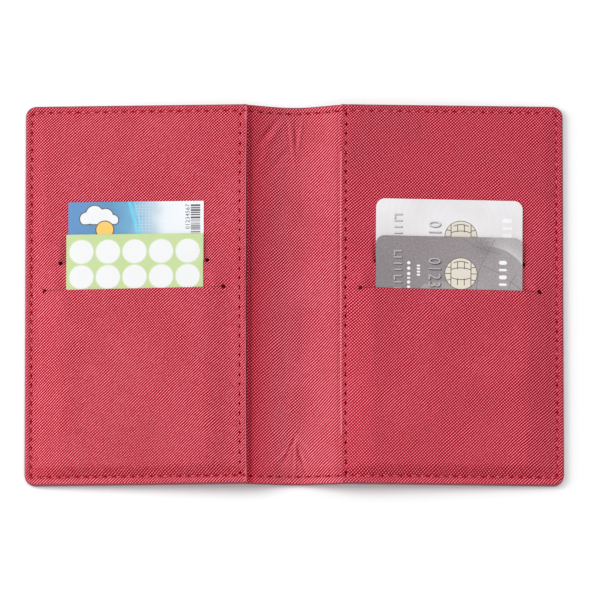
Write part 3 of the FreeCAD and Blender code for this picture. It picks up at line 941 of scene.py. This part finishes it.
def stitches(name, path, place, height, outward=1, slant=0.35, hole=0.86, hole_width=0.5,
             mats=STITCH_MATS, step=PITCH):
    """A run of stitches and needle holes, evenly spaced along a path of (x, y) points.

    hole and hole_width are half sizes; outward is -1 on the underside."""
    points = np.array(path, float)
    lengths = np.concatenate([[0], np.cumsum(np.hypot(*(points[1:] - points[:-1]).T))])
    count = max(int(round(lengths[-1] / step)), 1)
    pitch = lengths[-1] / count

    def at(distance):
        return np.array([np.interp(distance, lengths, points[:, k]) for k in (0, 1)])

    def frame_at(distance):
        """Surface point, tangent and normal."""
        point = at(distance)
        tangent = at(distance + 0.3) - at(distance - 0.3)
        tangent = tangent / (np.hypot(*tangent) + 1e-12)
        level = float(height(*point, 0.0))
        small = 0.05
        centre = place(*point, level)
        return (centre, place(*(point + tangent * small), level) - centre,
                (place(*point, level + small) - centre) * outward)

    verts, faces, face_mats = [], [], []
    for k in range(count):
        rng = random.Random(k * 7 + len(name))
        length = (pitch - 1.6 * hole) * MM * (1 + 0.06 * (rng.random() - 0.5))
        lean = slant * MM * (1 + 0.35 * (rng.random() - 0.5))
        faces += tube_faces(len(verts), THREAD_RINGS, THREAD_SIDES)
        verts += stitch_verts(*frame_at((k + 0.5) * pitch), length, lean)
    face_mats += [0] * len(faces)
    for k in range(count + 1):
        faces += tube_faces(len(verts), HOLE_RINGS - 1, HOLE_SIDES)
        verts += hole_verts(*frame_at(k * pitch), hole, hole_width)
    face_mats += [1] * (len(faces) - len(face_mats))
    return fix_normals(new_object(name, verts, faces, mats, face_mats))


def cover_path(start):
    """Along the far edge, round the corners of the outer edge and back along the near edge."""
    radius = CORNER - SEAM_INSET
    seam_out, seam_y = COVER - SEAM_INSET, HALF - SEAM_INSET
    points = [(start, seam_y)]
    for centre_y, first in ((seam_y - radius, math.pi / 2),
                            (-seam_y + NEAR_INSET + radius, 0.0)):
        for k in range(13):
            angle = first - math.pi / 2 * k / 12
            points.append((seam_out - radius + radius * math.cos(angle),
                           centre_y + radius * math.sin(angle)))
    points.append((start, -seam_y + NEAR_INSET))
    return points


def cover_stitches(side, tag):
    top, place = panel_top(side), panel_map(side)
    perimeter = stitches("perimeter_stitches_" + tag, cover_path(1.0), place, top,
                         hole=0.98, hole_width=0.30, mats=PERIMETER_MATS, step=3.4)
    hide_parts("perimeter_thread_" + tag)
    seam = FLAP_SEAM[side]
    flap = stitches("flap_stitches_" + tag, [(seam, -67.2), (seam, 67.2)], place, top,
                    slant=0.4, hole=1.0, hole_width=0.6)
    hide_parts("flap_thread_" + tag)
    outside = stitches("outside_stitches_" + tag, cover_path(3.0),
                       lambda out, y, height: section_map(side * (SPINE + out), y, height),
                       lambda out, y, cut: outer_bottom(SPINE + out, y, cut), outward=-1)
    for run in (perimeter, flap, outside):
        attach(run, "cover_" + tag)


def spine_stitches(tag, seam_y):
    path = [(-SPINE + 1.3, seam_y), (SPINE - 1.3, seam_y)]
    inside = stitches("spine_stitches_" + tag, path, section_map, lining_top, hole=1.05)
    outside = stitches("outside_spine_stitches_" + tag, path, section_map, outer_bottom,
                       outward=-1)
    if tag == "far":
        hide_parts("perimeter_thread_spine_left", "perimeter_thread_spine_right")
    for run in (inside, outside):
        blend_part(run)


for side, tag in SIDES:
    cover_stitches(side, tag)
spine_stitches("far", HALF - SEAM_INSET)
spine_stitches("near", -(HALF - SEAM_INSET) + NEAR_INSET)


# ---------------------------------------------------------------- flat items
class Item:
    """A flat item in a pocket; on it x runs right, y far, both from its own origin.

    out, y: the origin on the cover; top: height of its face; turn: radians"""
    def __init__(self, side, out, y, top, slot, body, turn=0.0):
        self.side, self.out, self.y, self.top = side, out, y, top
        self.slot, self.body = slot, body
        self.cos, self.sin = math.cos(turn), math.sin(turn)
        self.on_cover = cover_map(side)

    def place(self, x, y, lift):
        """Metres from item coordinates and lift over its face."""
        turned_x, turned_y = x * self.cos - y * self.sin, x * self.sin + y * self.cos
        return self.on_cover(self.out + self.side * turned_x, turned_y + self.y,
                             self.top + lift)

    def coordinates(self, surface):
        """Item coordinates as shader values."""
        x, y = surface.object_mm(axes=2)
        tilt_cos = math.cos(TILT)
        origin_x = self.side * (FOLD_X + self.out * tilt_cos + 3.5 * math.sin(TILT))
        dx, dy = (x - origin_x) / tilt_cos, y - self.y
        return dx * self.cos + dy * self.sin, dy * self.cos - dx * self.sin

    def add(self, name, verts, faces, mat, slot=None, weld=0.0):
        piece = fix_normals(new_object(name, verts, faces, [mat], smooth=False), weld)
        slot or self.slot
        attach(piece, self.body)

    def ribbon(self, name, lines, width, lift, thick, mat, closed=False, slot=None):
        """Thin raised lines; each line is a list of (x, y)."""
        verts, faces = [], []
        for line in lines:
            points = np.array(line, float)
            count, base = len(points), len(verts)
            for i, point in enumerate(points):
                before = points[(i - 1) % count if closed else max(i - 1, 0)]
                after = points[(i + 1) % count if closed else min(i + 1, count - 1)]
                along = (after - before) / (np.hypot(*(after - before)) + 1e-12)
                aside = np.array([-along[1], along[0]]) * width / 2
                verts += [self.place(*(point + aside), lift),
                          self.place(*(point - aside), lift),
                          self.place(*(point - aside), lift + thick),
                          self.place(*(point + aside), lift + thick)]
            for i in range(count if closed else count - 1):
                first, second = base + 4 * i, base + 4 * ((i + 1) % count)
                for j in range(4):
                    k = (j + 1) % 4
                    faces.append((first + j, first + k, second + k, second + j))
            if not closed:
                end = base + 4 * (count - 1)
                faces.append((base, base + 3, base + 2, base + 1))
                faces.append((end, end + 1, end + 2, end + 3))
        self.add(name, verts, faces, mat, slot)

    def patch(self, name, outlines, lift, thick, mat, inset=0.0):
        """Raised flat shapes from closed outlines; inset chamfers their tops."""
        verts, faces = [], []
        for outline in outlines:
            points = np.array(outline, float)
            centre, count, base = points.mean(0), len(points), len(verts)
            layers = [(points, lift), (points, lift + thick * (0.45 if inset else 1))]
            if inset:
                inward = [(centre - p) / (np.hypot(*(centre - p)) + 1e-9) for p in points]
                layers.append((points + np.array(inward) * inset, lift + thick))
            for layer, height in layers:
                verts += [self.place(*point, height) for point in layer]
            for low in range(base, base + (len(layers) - 1) * count, count):
                for i in range(count):
                    j = (i + 1) % count
                    faces.append((low + i, low + j, low + count + j, low + count + i))
            faces.append(tuple(base + (len(layers) - 1) * count + i for i in range(count)))
            faces.append(tuple(base + i for i in range(count))[::-1])
        self.add(name, verts, faces, mat)

    def text(self, name, digits, size, middle, lift, thick, mat, turn, bevel=0.0, narrow=1.0):
        """Digits in the built-in font around middle (x, y)."""
        curve = bpy.data.curves.new(name, "FONT")
        curve.body = digits
        curve.size = size
        curve.extrude = thick / 2
        curve.bevel_depth = bevel
        curve.bevel_resolution = 1
        curve.resolution_u = 3
        curve.align_x = "CENTER"
        curve.align_y = "CENTER"
        curve.space_character = 1.12
        source = bpy.data.objects.new(name + "_tmp", curve)
        bpy.context.scene.collection.objects.link(source)
        graph = bpy.context.evaluated_depsgraph_get()
        mesh = bpy.data.meshes.new_from_object(source.evaluated_get(graph))
        bpy.data.objects.remove(source)
        coords = np.zeros(len(mesh.vertices) * 3)
        mesh.vertices.foreach_get("co", coords)
        flat_x, flat_y, flat_z = coords.reshape(-1, 3).T
        flat_x = flat_x * narrow
        x = flat_x * math.cos(turn) - flat_y * math.sin(turn) + middle[0]
        y = flat_x * math.sin(turn) + flat_y * math.cos(turn) + middle[1]
        self.add(name, self.place(x, y, lift + flat_z - flat_z.min()),
                 [tuple(p.vertices) for p in mesh.polygons], mat, weld=0.002 * MM)


def pill(centre_x, centre_y, width, height, steps=6):
    """Rounded bar outline."""
    radius = min(width, height) / 2
    points = []
    for k, (sign_x, sign_y) in enumerate(((1, 1), (-1, 1), (-1, -1), (1, -1))):
        for i in range(steps + 1):
            angle = math.pi / 2 * (k + i / steps)
            points.append((centre_x + sign_x * (width / 2 - radius) + radius * math.cos(angle),
                           centre_y + sign_y * (height / 2 - radius) + radius * math.sin(angle)))
    return points


def arc(centre_x, centre_y, radius, start, end, steps=24):
    """Points of an arc between two angles in degrees."""
    angles = [math.radians(start + (end - start) * k / steps) for k in range(steps + 1)]
    return [(centre_x + radius * math.cos(angle), centre_y + radius * math.sin(angle))
            for angle in angles]


def paint(node, mat):
    """Gives a CAD piece one material."""
    mesh = NODES[node].data
    mesh.materials.clear()
    mesh.materials.append(mat)
    for polygon in mesh.polygons:
        polygon.material_index = 0


def break_edges(node, width):
    """Bevels the edges of a CAD piece by width millimetres."""
    piece = NODES[node]
    bevel = piece.modifiers.new("edge_break", "BEVEL")
    bevel.width = width * MM
    bevel.segments = 2
    bevel.limit_method = "ANGLE"
    bevel.angle_limit = math.radians(50)
    piece.data.polygons.foreach_set("use_smooth", np.zeros(len(piece.data.polygons), bool))


# ---------------------------------------------------------------- bank cards
CARD_TURN = math.radians(-0.5)
CARDS = {
    "light": Item(1, 39.35, -7.4, PANEL_TOP + ITEM_GAP + ITEM_THICK[1],
                  "card_light_plastic", "card_light", CARD_TURN),
    "dark": Item(1, 39.2, -21.65, LEVELS[1][0] + ITEM_GAP + ITEM_THICK[1],
                 "card_dark_plastic", "card_dark", CARD_TURN)}


def squared(value, centre):
    return (value - centre) * (value - centre)


def light_print(surface, x, y, grain, cloud):
    """Pale clouds with fine printed rings and waves."""
    tone = (cloud - 0.5) * 1.1 + ((x + 27.0) / 54.0).clamp() * 0.05 + 0.46
    color = surface.ramp(tone.clamp(), [(0.0, srgb(206, 202, 203)), (0.5, srgb(228, 225, 226)),
                                        (1.0, srgb(238, 236, 238))])
    radius = (squared(x, 6.0) + squared(y, 34.0)) ** 0.5
    rings = (radius * 2.4).cos() * 0.5 + 0.5
    waves = ((x * 1.0 + y * 0.35) * 3.1).cos() * 0.5 + 0.5
    color = surface.mix(rings * 0.10 + waves * 0.05, color, srgb(205, 203, 204))
    return surface.mix((grain - 0.4).clamp() * 0.25, color, srgb(180, 176, 178))


def dark_print(surface, x, y, grain, cloud):
    """Grey clouds, lighter to the right, under the printed shapes."""
    tone = ((x + 27.0) / 54.0).clamp() * 0.5 + (cloud - 0.5) * 0.5 + 0.18
    color = surface.ramp(tone.clamp(), [(0.0, srgb(118, 110, 112)), (0.5, srgb(140, 131, 133)),
                                        (1.0, srgb(200, 194, 194))])
    # a bright crescent in the far right corner, with a dusky spot in it
    radius = (squared(x, 14.4) + squared(y, 24.0)) ** 0.5
    crescent = radius.above(15.3) * ((radius - 15.3) * -0.36).falloff()
    color = surface.mix(crescent * (x - 12.0).step(0.0, 7.0) * 0.8, color, srgb(208, 206, 205))
    dusk = ((squared(x, 14.0) + squared(y, 38.5) * 2.0) * -0.045).falloff()
    color = surface.mix(dusk * 0.5, color, srgb(96, 90, 93))
    # a pale patch with a ragged outline
    radius = ((x + 4.0) * (x + 4.0) * 0.3 + squared(y, 22.5) * 1.3) ** 0.5
    ragged = (surface.noise(x, y, 8.0, scale=0.4, detail=3.0) * 3.0 + radius).step(5.4, 4.8)
    color = surface.mix(ragged * 0.4, color, srgb(186, 182, 182))
    # pale specks, gaining from x = 0 to x = 12
    specks = surface.noise(x, y, 1.0, scale=3.4)
    color = surface.mix((specks - 0.5).clamp() * ((x - 0.0) / 12.0).clamp() * 1.1, color,
                        srgb(215, 213, 213))
    color = surface.mix((grain - 0.42).clamp() * 0.22, color, srgb(90, 84, 88))
    mottle = surface.noise(x, y, 12.0, scale=1.5)
    color = surface.mix((mottle - 0.5).clamp() * 1.3, color, srgb(176, 168, 170))
    return surface.mix((0.5 - mottle).clamp() * 1.3, color, srgb(104, 96, 98))


def card_material(name, item, card_print):
    surface = Material(name)
    x, y = item.coordinates(surface)
    grain = surface.noise(x, y, scale=5.0)
    cloud = surface.noise(x, y, 3.0, scale=0.05)
    color = card_print(surface, x, y, grain, cloud)
    surface.bump(grain, distance=0.00001, strength=0.6)
    return surface.finish(color, rough=grain * 0.12 + 0.26, spec=0.5)


def chip_plating():
    surface = Material("chip_plating")
    x, y = surface.object_mm(axes=2)
    cloud = surface.noise(x, y, scale=1.6, detail=3.0)
    brushing = (x * 22.0).sin() * 0.5 + 0.5
    color = surface.mix(cloud, srgb(206, 198, 184), srgb(224, 217, 203))
    surface.bump(brushing * 0.3 + cloud, distance=0.000012, strength=0.6)
    return surface.finish(color, rough=cloud * 0.15 + 0.3, metal=0.15, spec=0.5)


CHIP = chip_plating()
CHIP_LINE = ink("chip_groove", (66, 58, 50), (96, 86, 74), scale=3.0, rough=0.7)
SHADE = {
    "dark": ink("embossing_shade_dark", (50, 44, 48), (72, 66, 70), scale=2.4, spec=0.2),
    "light": ink("embossing_shade_pale", (104, 100, 102), (132, 128, 130), scale=2.4, spec=0.2)}
# the raised faces of the embossing as a lit copy over the shade copy: painted highlight and
# painted shadow
EMBOSS_LIT_FACE = {
    "dark": ink("embossed_lit_face_grey", (138, 132, 136), (190, 186, 188),
                scale=1.6, rough=0.32, spec=0.6),
    "light": ink("embossed_lit_face_pale", (186, 183, 184), (222, 220, 221),
                 scale=1.6, rough=0.32, spec=0.6)}
INK_WHITE = ink("white_card_ink", (226, 226, 228), (246, 246, 248), rough=0.45)
INK_GREY = ink("grey_card_ink", (96, 92, 96), (120, 116, 120))

CHIP_X, CHIP_Y, CHIP_RADIUS = 4.35, 28.85, 5.95
# text layer: lift, thickness, shift right and near, bevel
TEXT_LAYERS = {"shade": (-0.02, 0.06, 0.19, 0.06), "face": (-0.01, 0.2, -0.03, 0.03)}
BAR_X = -18.9              # column of embossed bars
# pale bars: x, first y, y step, width, heights
PALE_BARS = {"dark": (19.8, 33.3, 2.75, 2.9, (1.5, 0.9, 1.5, 0.9)),
             "light": (21.4, 35.2, 2.9, 3.6, (1.7, 1.0, 1.7))}
MAP_LINES = [              # (x, y) points of each line on the dark card
    [(16.9, 42.2), (14.4, 37.5), (11.9, 32.9), (10.6, 28.2), (10.1, 23.0), (10.2, 19)],
    [(24.5, 28.7), (22.8, 26.1), (21.5, 23.0), (20.8, 19)],
    [(11.9, 32.3), (15.4, 30.8), (18.5, 29.2), (22.0, 26.6), (26.5, 23.3)],
    [(5.0, 42.0), (9.0, 39.6), (14.4, 37.5), (19.0, 36.6)]]


def chip_lines():
    """Contact pattern of the round chip, worked out in chip radii."""
    lines = [[(x, -0.77), (x, 0.77)] for x in (-0.62, 0.62)]
    for x in (-0.21, 0.21):
        lines += [[(x, sign * 0.30), (x, sign * 0.74)] for sign in (1, -1)]
    lines += [arc(0, -1.35, 1.72, 111, 69), arc(0, 1.35, 1.72, -111, -69),
              arc(0, -0.2, 0.98, 118, 62)]
    for sign in (-1, 1):
        for y in (0.42, 0.0, -0.42):
            lines.append([(sign * 0.62, y * 0.9), (sign * math.sqrt(1 - y * y) * 0.97, y)])
    return [[(CHIP_X + x * CHIP_RADIUS, CHIP_Y + y * CHIP_RADIUS) for x, y in line]
            for line in lines]


def embossed_bars(rng):
    """Plain bars where a name would be."""
    bars = []
    y = 37.0
    while y > -20:
        bars.append(pill(BAR_X, y, rng.choice((3.1, 3.1, 2.2)), 0.62))
        if rng.random() < 0.6:
            bars.append(pill(BAR_X + rng.choice((-1.2, 1.2)), y - 0.95, 0.62, 1.7))
        y -= 2.35
    return bars


def small_print(rng):
    """Small print as plain bars."""
    bars = []
    y = 33.5
    while y > 20:
        length = rng.choice((0.9, 1.3, 1.8))
        bars.append(pill(-14.9, y - length / 2, 1.25, length * 0.7, 3))
        y -= length + 0.25
    return bars + [pill(-11.3, 31.6 - 1.15 * k, 1.3, 0.7, 3) for k in range(4)]


def bank_card(tag, card_print):
    item = CARDS[tag]
    paint("bank_card_" + tag, card_material(tag + "_card_print", item, card_print))
    break_edges("bank_card_" + tag, 0.14)
    paint("chip_contact_" + tag, CHIP)
    item.ribbon("chip_pattern_" + tag, chip_lines(), 0.27, -0.005, 0.02, CHIP_LINE,
                slot="chip_metal")
    item.ribbon("chip_rim_" + tag, [arc(CHIP_X, CHIP_Y, CHIP_RADIUS, 0, 351, 39)], 0.22,
                -0.005, 0.02, CHIP_LINE, closed=True, slot="chip_metal")
    for group, digits in enumerate(("0123", "4567", "8901", "2345")):
        for layer, (lift, thick, shift, bevel) in TEXT_LAYERS.items():
            item.text("embossed_%s_%s_%d" % (layer, tag, group + 1), digits, 6.4,
                      (-5.6 + shift, 29.0 - 17.9 * group - shift), lift, thick,
                      (SHADE if layer == "shade" else EMBOSS_LIT_FACE)[tag], -math.pi / 2,
                      bevel=bevel, narrow=0.82)
    rng = random.Random(3)
    bars = embossed_bars(rng)
    item.patch("embossed_bar_shade_" + tag,
               [[(x + 0.2, y - 0.2) for x, y in bar] for bar in bars], -0.02, 0.05, SHADE[tag])
    item.patch("embossed_bars_" + tag, bars, -0.01, 0.18, EMBOSS_LIT_FACE[tag], inset=0.12)
    print_bars = small_print(rng)
    if tag == "dark":
        item.patch("small_print_" + tag, print_bars, -0.004, 0.018, INK_WHITE)
    x, first_y, step, width, heights = PALE_BARS[tag]
    item.patch("pale_bars_" + tag,
               [pill(x, first_y - step * k, width, height) for k, height in enumerate(heights)],
               -0.004, 0.03, INK_WHITE)
    if tag == "dark":
        item.ribbon("map_lines_" + tag, MAP_LINES, 0.16, -0.005, 0.012, INK_GREY)


bank_card("light", light_print)
bank_card("dark", dark_print)

# ---------------------------------------------------------------- ticket
TICKET = Item(-1, 40.83, -7.7, PANEL_TOP + ITEM_GAP + ITEM_THICK[-1], "ticket_paper", "ticket")
TICKET_WIDTH = 49.9
TICKET_STOPS = [(0.0, srgb(90, 136, 186)), (0.30, srgb(84, 136, 178)),
                (0.46, srgb(104, 160, 194)), (0.60, srgb(170, 192, 208)),
                (0.72, srgb(223, 227, 231)), (1.0, srgb(231, 231, 234))]
CLOUD_X, CLOUD_Y, CLOUD_SCALE = -14.0, 36.2, 0.92
# lobes of the cloud: x, y, radius
CLOUD_LOBES = ((-4.6, 0.0, 2.6), (-1.4, 2.0, 3.3), (3.0, 1.1, 2.9), (6.0, -0.6, 2.1),
               (0, -0.9, 3.0))


def ticket_print():
    """Blue to white print with two bright diagonal streaks and a faint grid."""
    surface = Material("ticket_print")
    x, y = TICKET.coordinates(surface)
    across = (x + TICKET_WIDTH / 2) / TICKET_WIDTH
    cloud = surface.noise(x, y, scale=0.12, detail=3.0)
    grain = surface.noise(x, y, 5.0, scale=2.6)
    color = surface.ramp((across + (cloud - 0.5) * 0.16).clamp(), TICKET_STOPS)
    diagonal = across - (42.5 - y) * 0.0052
    wide = (diagonal - 0.452).abs().step(0.020, 0.006)
    color = surface.mix(wide * 0.85, color, srgb(92, 198, 226))
    narrow = (diagonal - 0.490).abs().step(0.012, 0.004)
    color = surface.mix(narrow * 0.7, color, srgb(110, 200, 226))
    lines = (x * 5.2).cos().above(0.86).max((y * 5.2).cos().above(0.86))
    grid = lines * (across - 0.56).abs().step(0.10, 0.02)
    color = surface.mix(grid * 0.25, color, srgb(235, 245, 250))
    color = surface.mix((grain - 0.45).clamp() * 0.25, color, srgb(70, 110, 150))
    surface.bump(grain, distance=0.000012, strength=0.6)
    return surface.finish(color, rough=grain * 0.1 + 0.32, spec=0.45)


def cloud_outline(grow=0.0):
    """Outline of a plain cloud built from arcs, with a flat base."""
    grow = grow / CLOUD_SCALE
    points = []
    for k in range(72):
        angle = 2 * math.pi * k / 72
        ray_x, ray_y = math.cos(angle), math.sin(angle)
        reach = 0.5
        for x, y, radius in CLOUD_LOBES:
            along = ray_x * x + ray_y * y
            inside = along * along - (x * x + y * y - (radius + grow) ** 2)
            if inside > 0:
                reach = max(reach, along + math.sqrt(inside))
        points.append((CLOUD_X + ray_x * reach * CLOUD_SCALE,
                       CLOUD_Y + max(ray_y * reach, -2.2 - grow) * CLOUD_SCALE))
    return points


def bar_outlines():
    """A block of lines of uneven thickness."""
    rng = random.Random(12)
    bars = []
    y = 41.2
    while y > 30.3:
        thick = rng.choice((0.22, 0.34, 0.5, 0.72))
        bars.append([(20.2, y), (23.7, y), (23.7, y - thick), (20.2, y - thick)])
        y -= thick + rng.choice((0.26, 0.34, 0.46))
    return bars


def ticket():
    paint("ticket_card", ticket_print())
    break_edges("ticket_card", 0.05)
    white = ink("ticket_white_ink", (218, 220, 222), (230, 230, 230), rough=0.45)
    grey = ink("ticket_grey_ink", (70, 74, 82), (96, 98, 104))
    orange = ink("ticket_orange_ink", (240, 180, 84), (250, 204, 110), scale=1.5, rough=0.45)
    number = ink("ticket_number_ink", (36, 38, 44), (58, 60, 66))
    lift = -0.002
    for name, outlines, thick, mat in (
            ("cloud_edge", [cloud_outline(grow=0.38)], 0.008, grey),
            ("cloud", [cloud_outline()], 0.013, white),
            ("sun_edge", [arc(-11.5, 32.0, 3.5, 0, 350, 40)], 0.017, grey),
            ("sun", [arc(-11.5, 32.0, 3.1, 0, 350, 40)], 0.021, orange),
            ("bars", bar_outlines(), 0.012, grey)):
        TICKET.patch("ticket_" + name, outlines, lift, thick, mat)
    TICKET.text("ticket_number", "01234567", 2.15, (19.1, 36.6), lift, 0.012, number,
                math.pi / 2)


ticket()

# ---------------------------------------------------------------- sticker sheet
SHEET = Item(-1, 41.24, -20.1, LEVELS[-1][0] + ITEM_GAP + STICKER_THICK,
             "sticker_backing", "stickers")


def paper(name, fibre_scale, blotch_scale, color_of):
    """Paper whose colour is color_of(surface, fibre, blotch)."""
    surface = Material(name)
    x, y = surface.object_mm(axes=2)
    fibre = surface.noise(x, y, scale=fibre_scale, detail=3.0)
    blotch = surface.noise(x, y, 4.0, scale=blotch_scale)
    surface.bump(fibre, distance=0.00002, strength=0.7)
    return surface.finish(color_of(surface, fibre, blotch), rough=fibre * 0.1 + 0.5, spec=0.35)


def backing_color(surface, fibre, blotch):
    return surface.ramp((fibre * 0.4 + blotch * 0.6).clamp(), [
        (0.2, srgb(178, 198, 138)), (0.5, srgb(187, 206, 149)), (0.8, srgb(196, 213, 158))])


def sticker_color(surface, fibre, blotch):
    return surface.mix((fibre * 0.5 + blotch * 0.5).clamp(), srgb(220, 221, 221),
                       srgb(231, 231, 231))


paint("sticker_sheet", paper("sticker_backing_paper", fibre_scale=2.2, blotch_scale=0.09,
                             color_of=backing_color))
paint("sticker_dots", paper("sticker_paper", fibre_scale=2.6, blotch_scale=0.15,
                            color_of=sticker_color))
break_edges("sticker_sheet", 0.04)
KISS_RINGS = [arc(-19.57 + 9.79 * column, 35.9 - 9.55 * row, 4.62, 0, 352, 44)
              for row in range(8) for column in range(5)]
SHEET.ribbon("kiss_cut_rings", KISS_RINGS, 0.22, -0.004, 0.012,
             ink("kiss_cut_line", (198, 214, 166), (210, 222, 184)), closed=True)


# ---------------------------------------------------------------- hidden layers, CAD shape
def weave(name, dark, light, pitch):
    surface = Material(name)
    x, y = surface.object_mm(axes=2)
    turns = 2 * math.pi / pitch
    threads = (x * turns).sin() * (y * turns).sin() * 0.5 + 0.5
    cloud = surface.noise(x, y, scale=1.2)
    color = surface.mix((threads * 0.6 + cloud * 0.5 - 0.05).clamp(), srgb(*dark), srgb(*light))
    surface.bump(threads, distance=0.00006, strength=0.8)
    return surface.finish(color, rough=0.8, spec=0.2)


# the slot lining is a near-black weave, also standing in for the painted shade seen through the
# relief holes
SLOT_FABRIC_AND_SHADE = weave("slot_fabric_weave_and_shade", (22, 6, 12), (46, 12, 22), pitch=0.5)
TAPE = weave("tape_weave", (96, 24, 36), (130, 40, 54), pitch=0.7)
BOARD = speckled("grey_board", (150, 132, 108), (182, 164, 138),
                 scale=1.4, rough=0.85, grain=0.00005, spec=0.2)
for _, tag in SIDES:
    paint("card_slot_lining_upper_" + tag, SLOT_FABRIC_AND_SHADE)
    paint("card_slot_lining_lower_" + tag, SLOT_FABRIC_AND_SHADE)
    paint("flap_edge_tape_" + tag, TAPE)
    paint("stiffener_board_" + tag, BOARD)


# ---------------------------------------------------------------- floor, light, camera
def floor_material():
    surface = Material("white_floor")
    x, y, _ = surface.object_metres()
    cloud = surface.noise(x, y, scale=3.0)
    return surface.finish(surface.mix(cloud, (0.945,) * 3, (0.965,) * 3), rough=0.9, spec=0.1)


new_object("floor", [(-4, -4, 0), (4, -4, 0), (4, 4, 0), (-4, 4, 0)], [(0, 1, 2, 3)],
                    [floor_material()], smooth=False)

scene = bpy.context.scene
world = bpy.data.worlds.new("studio")
world.use_nodes = True
background = world.node_tree.nodes["Background"]
background.inputs["Color"].default_value = (0.98, 0.99, 1.0, 1)
background.inputs["Strength"].default_value = 0.70
scene.world = world


def area_light(name, location, size, energy):
    """A square light aimed at the origin; metres and watts."""
    light = bpy.data.lights.new(name, "AREA")
    light.shape = "SQUARE"
    light.size = size
    light.energy = energy
    lamp = bpy.data.objects.new(name, light)
    lamp.location = location
    lamp.rotation_euler = (-Vector(location)).to_track_quat("-Z", "Y").to_euler()
    scene.collection.objects.link(lamp)


area_light("key", (-1.15, 0.36, 0.95), size=0.7, energy=10.2)
area_light("low", (-1.3, 0.1, 0.26), size=0.5, energy=7.0)
area_light("fill", (0.2, 0.2, 1.6), size=1.2, energy=4.2)

scene.view_settings.view_transform = "Standard"
scene.view_settings.look = "None"
scene.view_settings.exposure = 0.0

CAMERA_ELEVATION = math.radians(77.0)
CAMERA_DISTANCE = 5.7      # metres
VIEW_WIDTH = 220.70995     # width seen at the target
CAMERA_TARGET = Vector((2.13 * MM, -1.62 * MM, 2.0 * MM))


def add_camera():
    """A long lens looking down from the near side."""
    lens = bpy.data.cameras.new("camera")
    lens.sensor_width = 36.0
    lens.lens = lens.sensor_width * CAMERA_DISTANCE / (VIEW_WIDTH * MM)
    lens.clip_start = 0.05
    lens.clip_end = 200.0
    camera = bpy.data.objects.new("camera", lens)
    scene.collection.objects.link(camera)
    back = Vector((0, -math.cos(CAMERA_ELEVATION), math.sin(CAMERA_ELEVATION)))
    camera.location = CAMERA_TARGET + back * CAMERA_DISTANCE
    camera.rotation_euler = back.to_track_quat("Z", "Y").to_euler()
    scene.camera = camera


add_camera()
